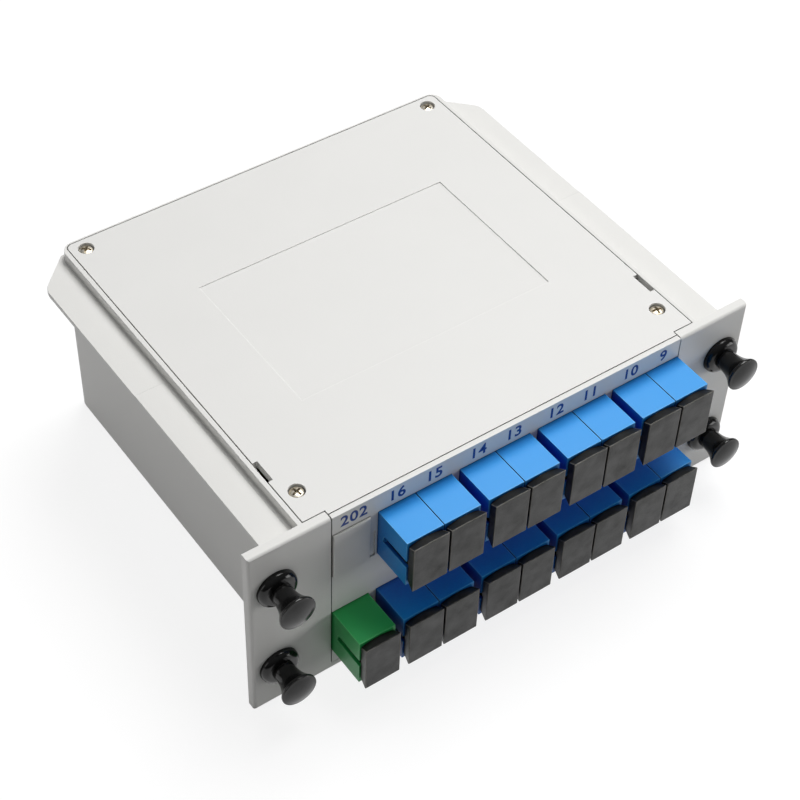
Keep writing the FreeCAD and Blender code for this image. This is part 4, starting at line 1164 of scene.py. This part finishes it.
# %% [markdown]
# Inside each adapter a split ceramic sleeve lines up the two ferrules.  It is a thin
# tube with one narrow slit, so its ring section is swept through almost a full turn.

# %% Ceramic sleeves
SLEEVE = [(1.27, 8.3), (1.62, 8.3), (1.62, 19.7), (1.27, 19.7)]
SLEEVE_STEPS = 30
SLIT = math.radians(14)


def make_sleeves():
    whole = bmesh.new()
    for port in PORTS:
        tube = bmesh.new()
        swept(tube, to_metres(SLEEVE), 2 * math.pi - SLIT, SLEEVE_STEPS)
        bmesh.ops.translate(tube, verts=tube.verts, vec=at_port(port))
        join(whole, tube)
    settle(whole, "split_sleeves", "ceramic", "sleeve_ceramic", nodes=["alignment_sleeves"])
    print("split sleeves for", len(PORTS), "ports")


make_sleeves()

# %% [markdown]
# The port numbers are pad-printed on the strip above the upper row.  Text becomes a
# thin raised mesh, because ink has an edge of its own.  The numbers stand over their
# ports, and the code of the cassette's place stands over the blank plate.

# %% Port numbers
NUMBER_SIZE = 4.1 * MM
NUMBER_SPACING = 1.10
INK_THICKNESS = 0.015 * MM
INK_WEIGHT = 0.09 * MM
SLOT_CODE = "202"
SLOT_CODE_SHIFT = 0.6 * MM


def add_number(bm, text, spot):
    """Printed text centred on a spot of the panel's front face."""
    curve = bpy.data.curves.new("number", "FONT")
    curve.body = text
    curve.size = NUMBER_SIZE
    curve.align_x = "CENTER"
    curve.align_y = "CENTER"
    curve.offset = INK_WEIGHT
    curve.extrude = INK_THICKNESS
    curve.space_character = NUMBER_SPACING
    text_object = bpy.data.objects.new("number", curve)
    scene.collection.objects.link(text_object)
    bpy.context.view_layer.update()
    mesh = bpy.data.meshes.new_from_object(text_object)
    mesh.transform(Matrix.Translation(spot) @ Matrix.Rotation(math.pi / 2, 4, "X"))
    bm.from_mesh(mesh)
    bpy.data.objects.remove(text_object)
    bpy.data.curves.remove(curve)
    bpy.data.meshes.remove(mesh)


def make_numbers():
    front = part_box("front_panel")[0].y
    strip_foot = at_port("09").z + ADAPTER_RISE / 2
    level = (strip_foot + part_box("front_panel")[1].z) / 2
    upper_row = PORTS[8:16]
    bm = bmesh.new()
    for port in upper_row:
        add_number(bm, str(int(port)), (at_port(port).x, front, level))
    add_number(bm, SLOT_CODE, (at_port("in").x + SLOT_CODE_SHIFT, front, level))
    settle(bm, "port_numbers", "ink", "cap_plastic")
    print(len(upper_row) + 1, "numbers printed at height", round(level / MM, 1), "mm")


make_numbers()

# %% [markdown]
# The connectors, the splitter's tube, its clips and the fibre coil lie inside the
# closed box.  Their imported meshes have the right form, so they stay and only get
# their finishes.

# %% Inner pieces
INNER = {"output_connectors_lower": "plug_blue", "output_connectors_upper": "plug_blue",
         "input_connector": "plug_green", "splitter_module": "module", "module_clips": "clip",
         "fibre_coil": "jacket"}
for node, finish in INNER.items():
    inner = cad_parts[node].data
    inner.materials.clear()
    inner.materials.append(FINISH[finish])
print(len(INNER), "inner nodes finished")
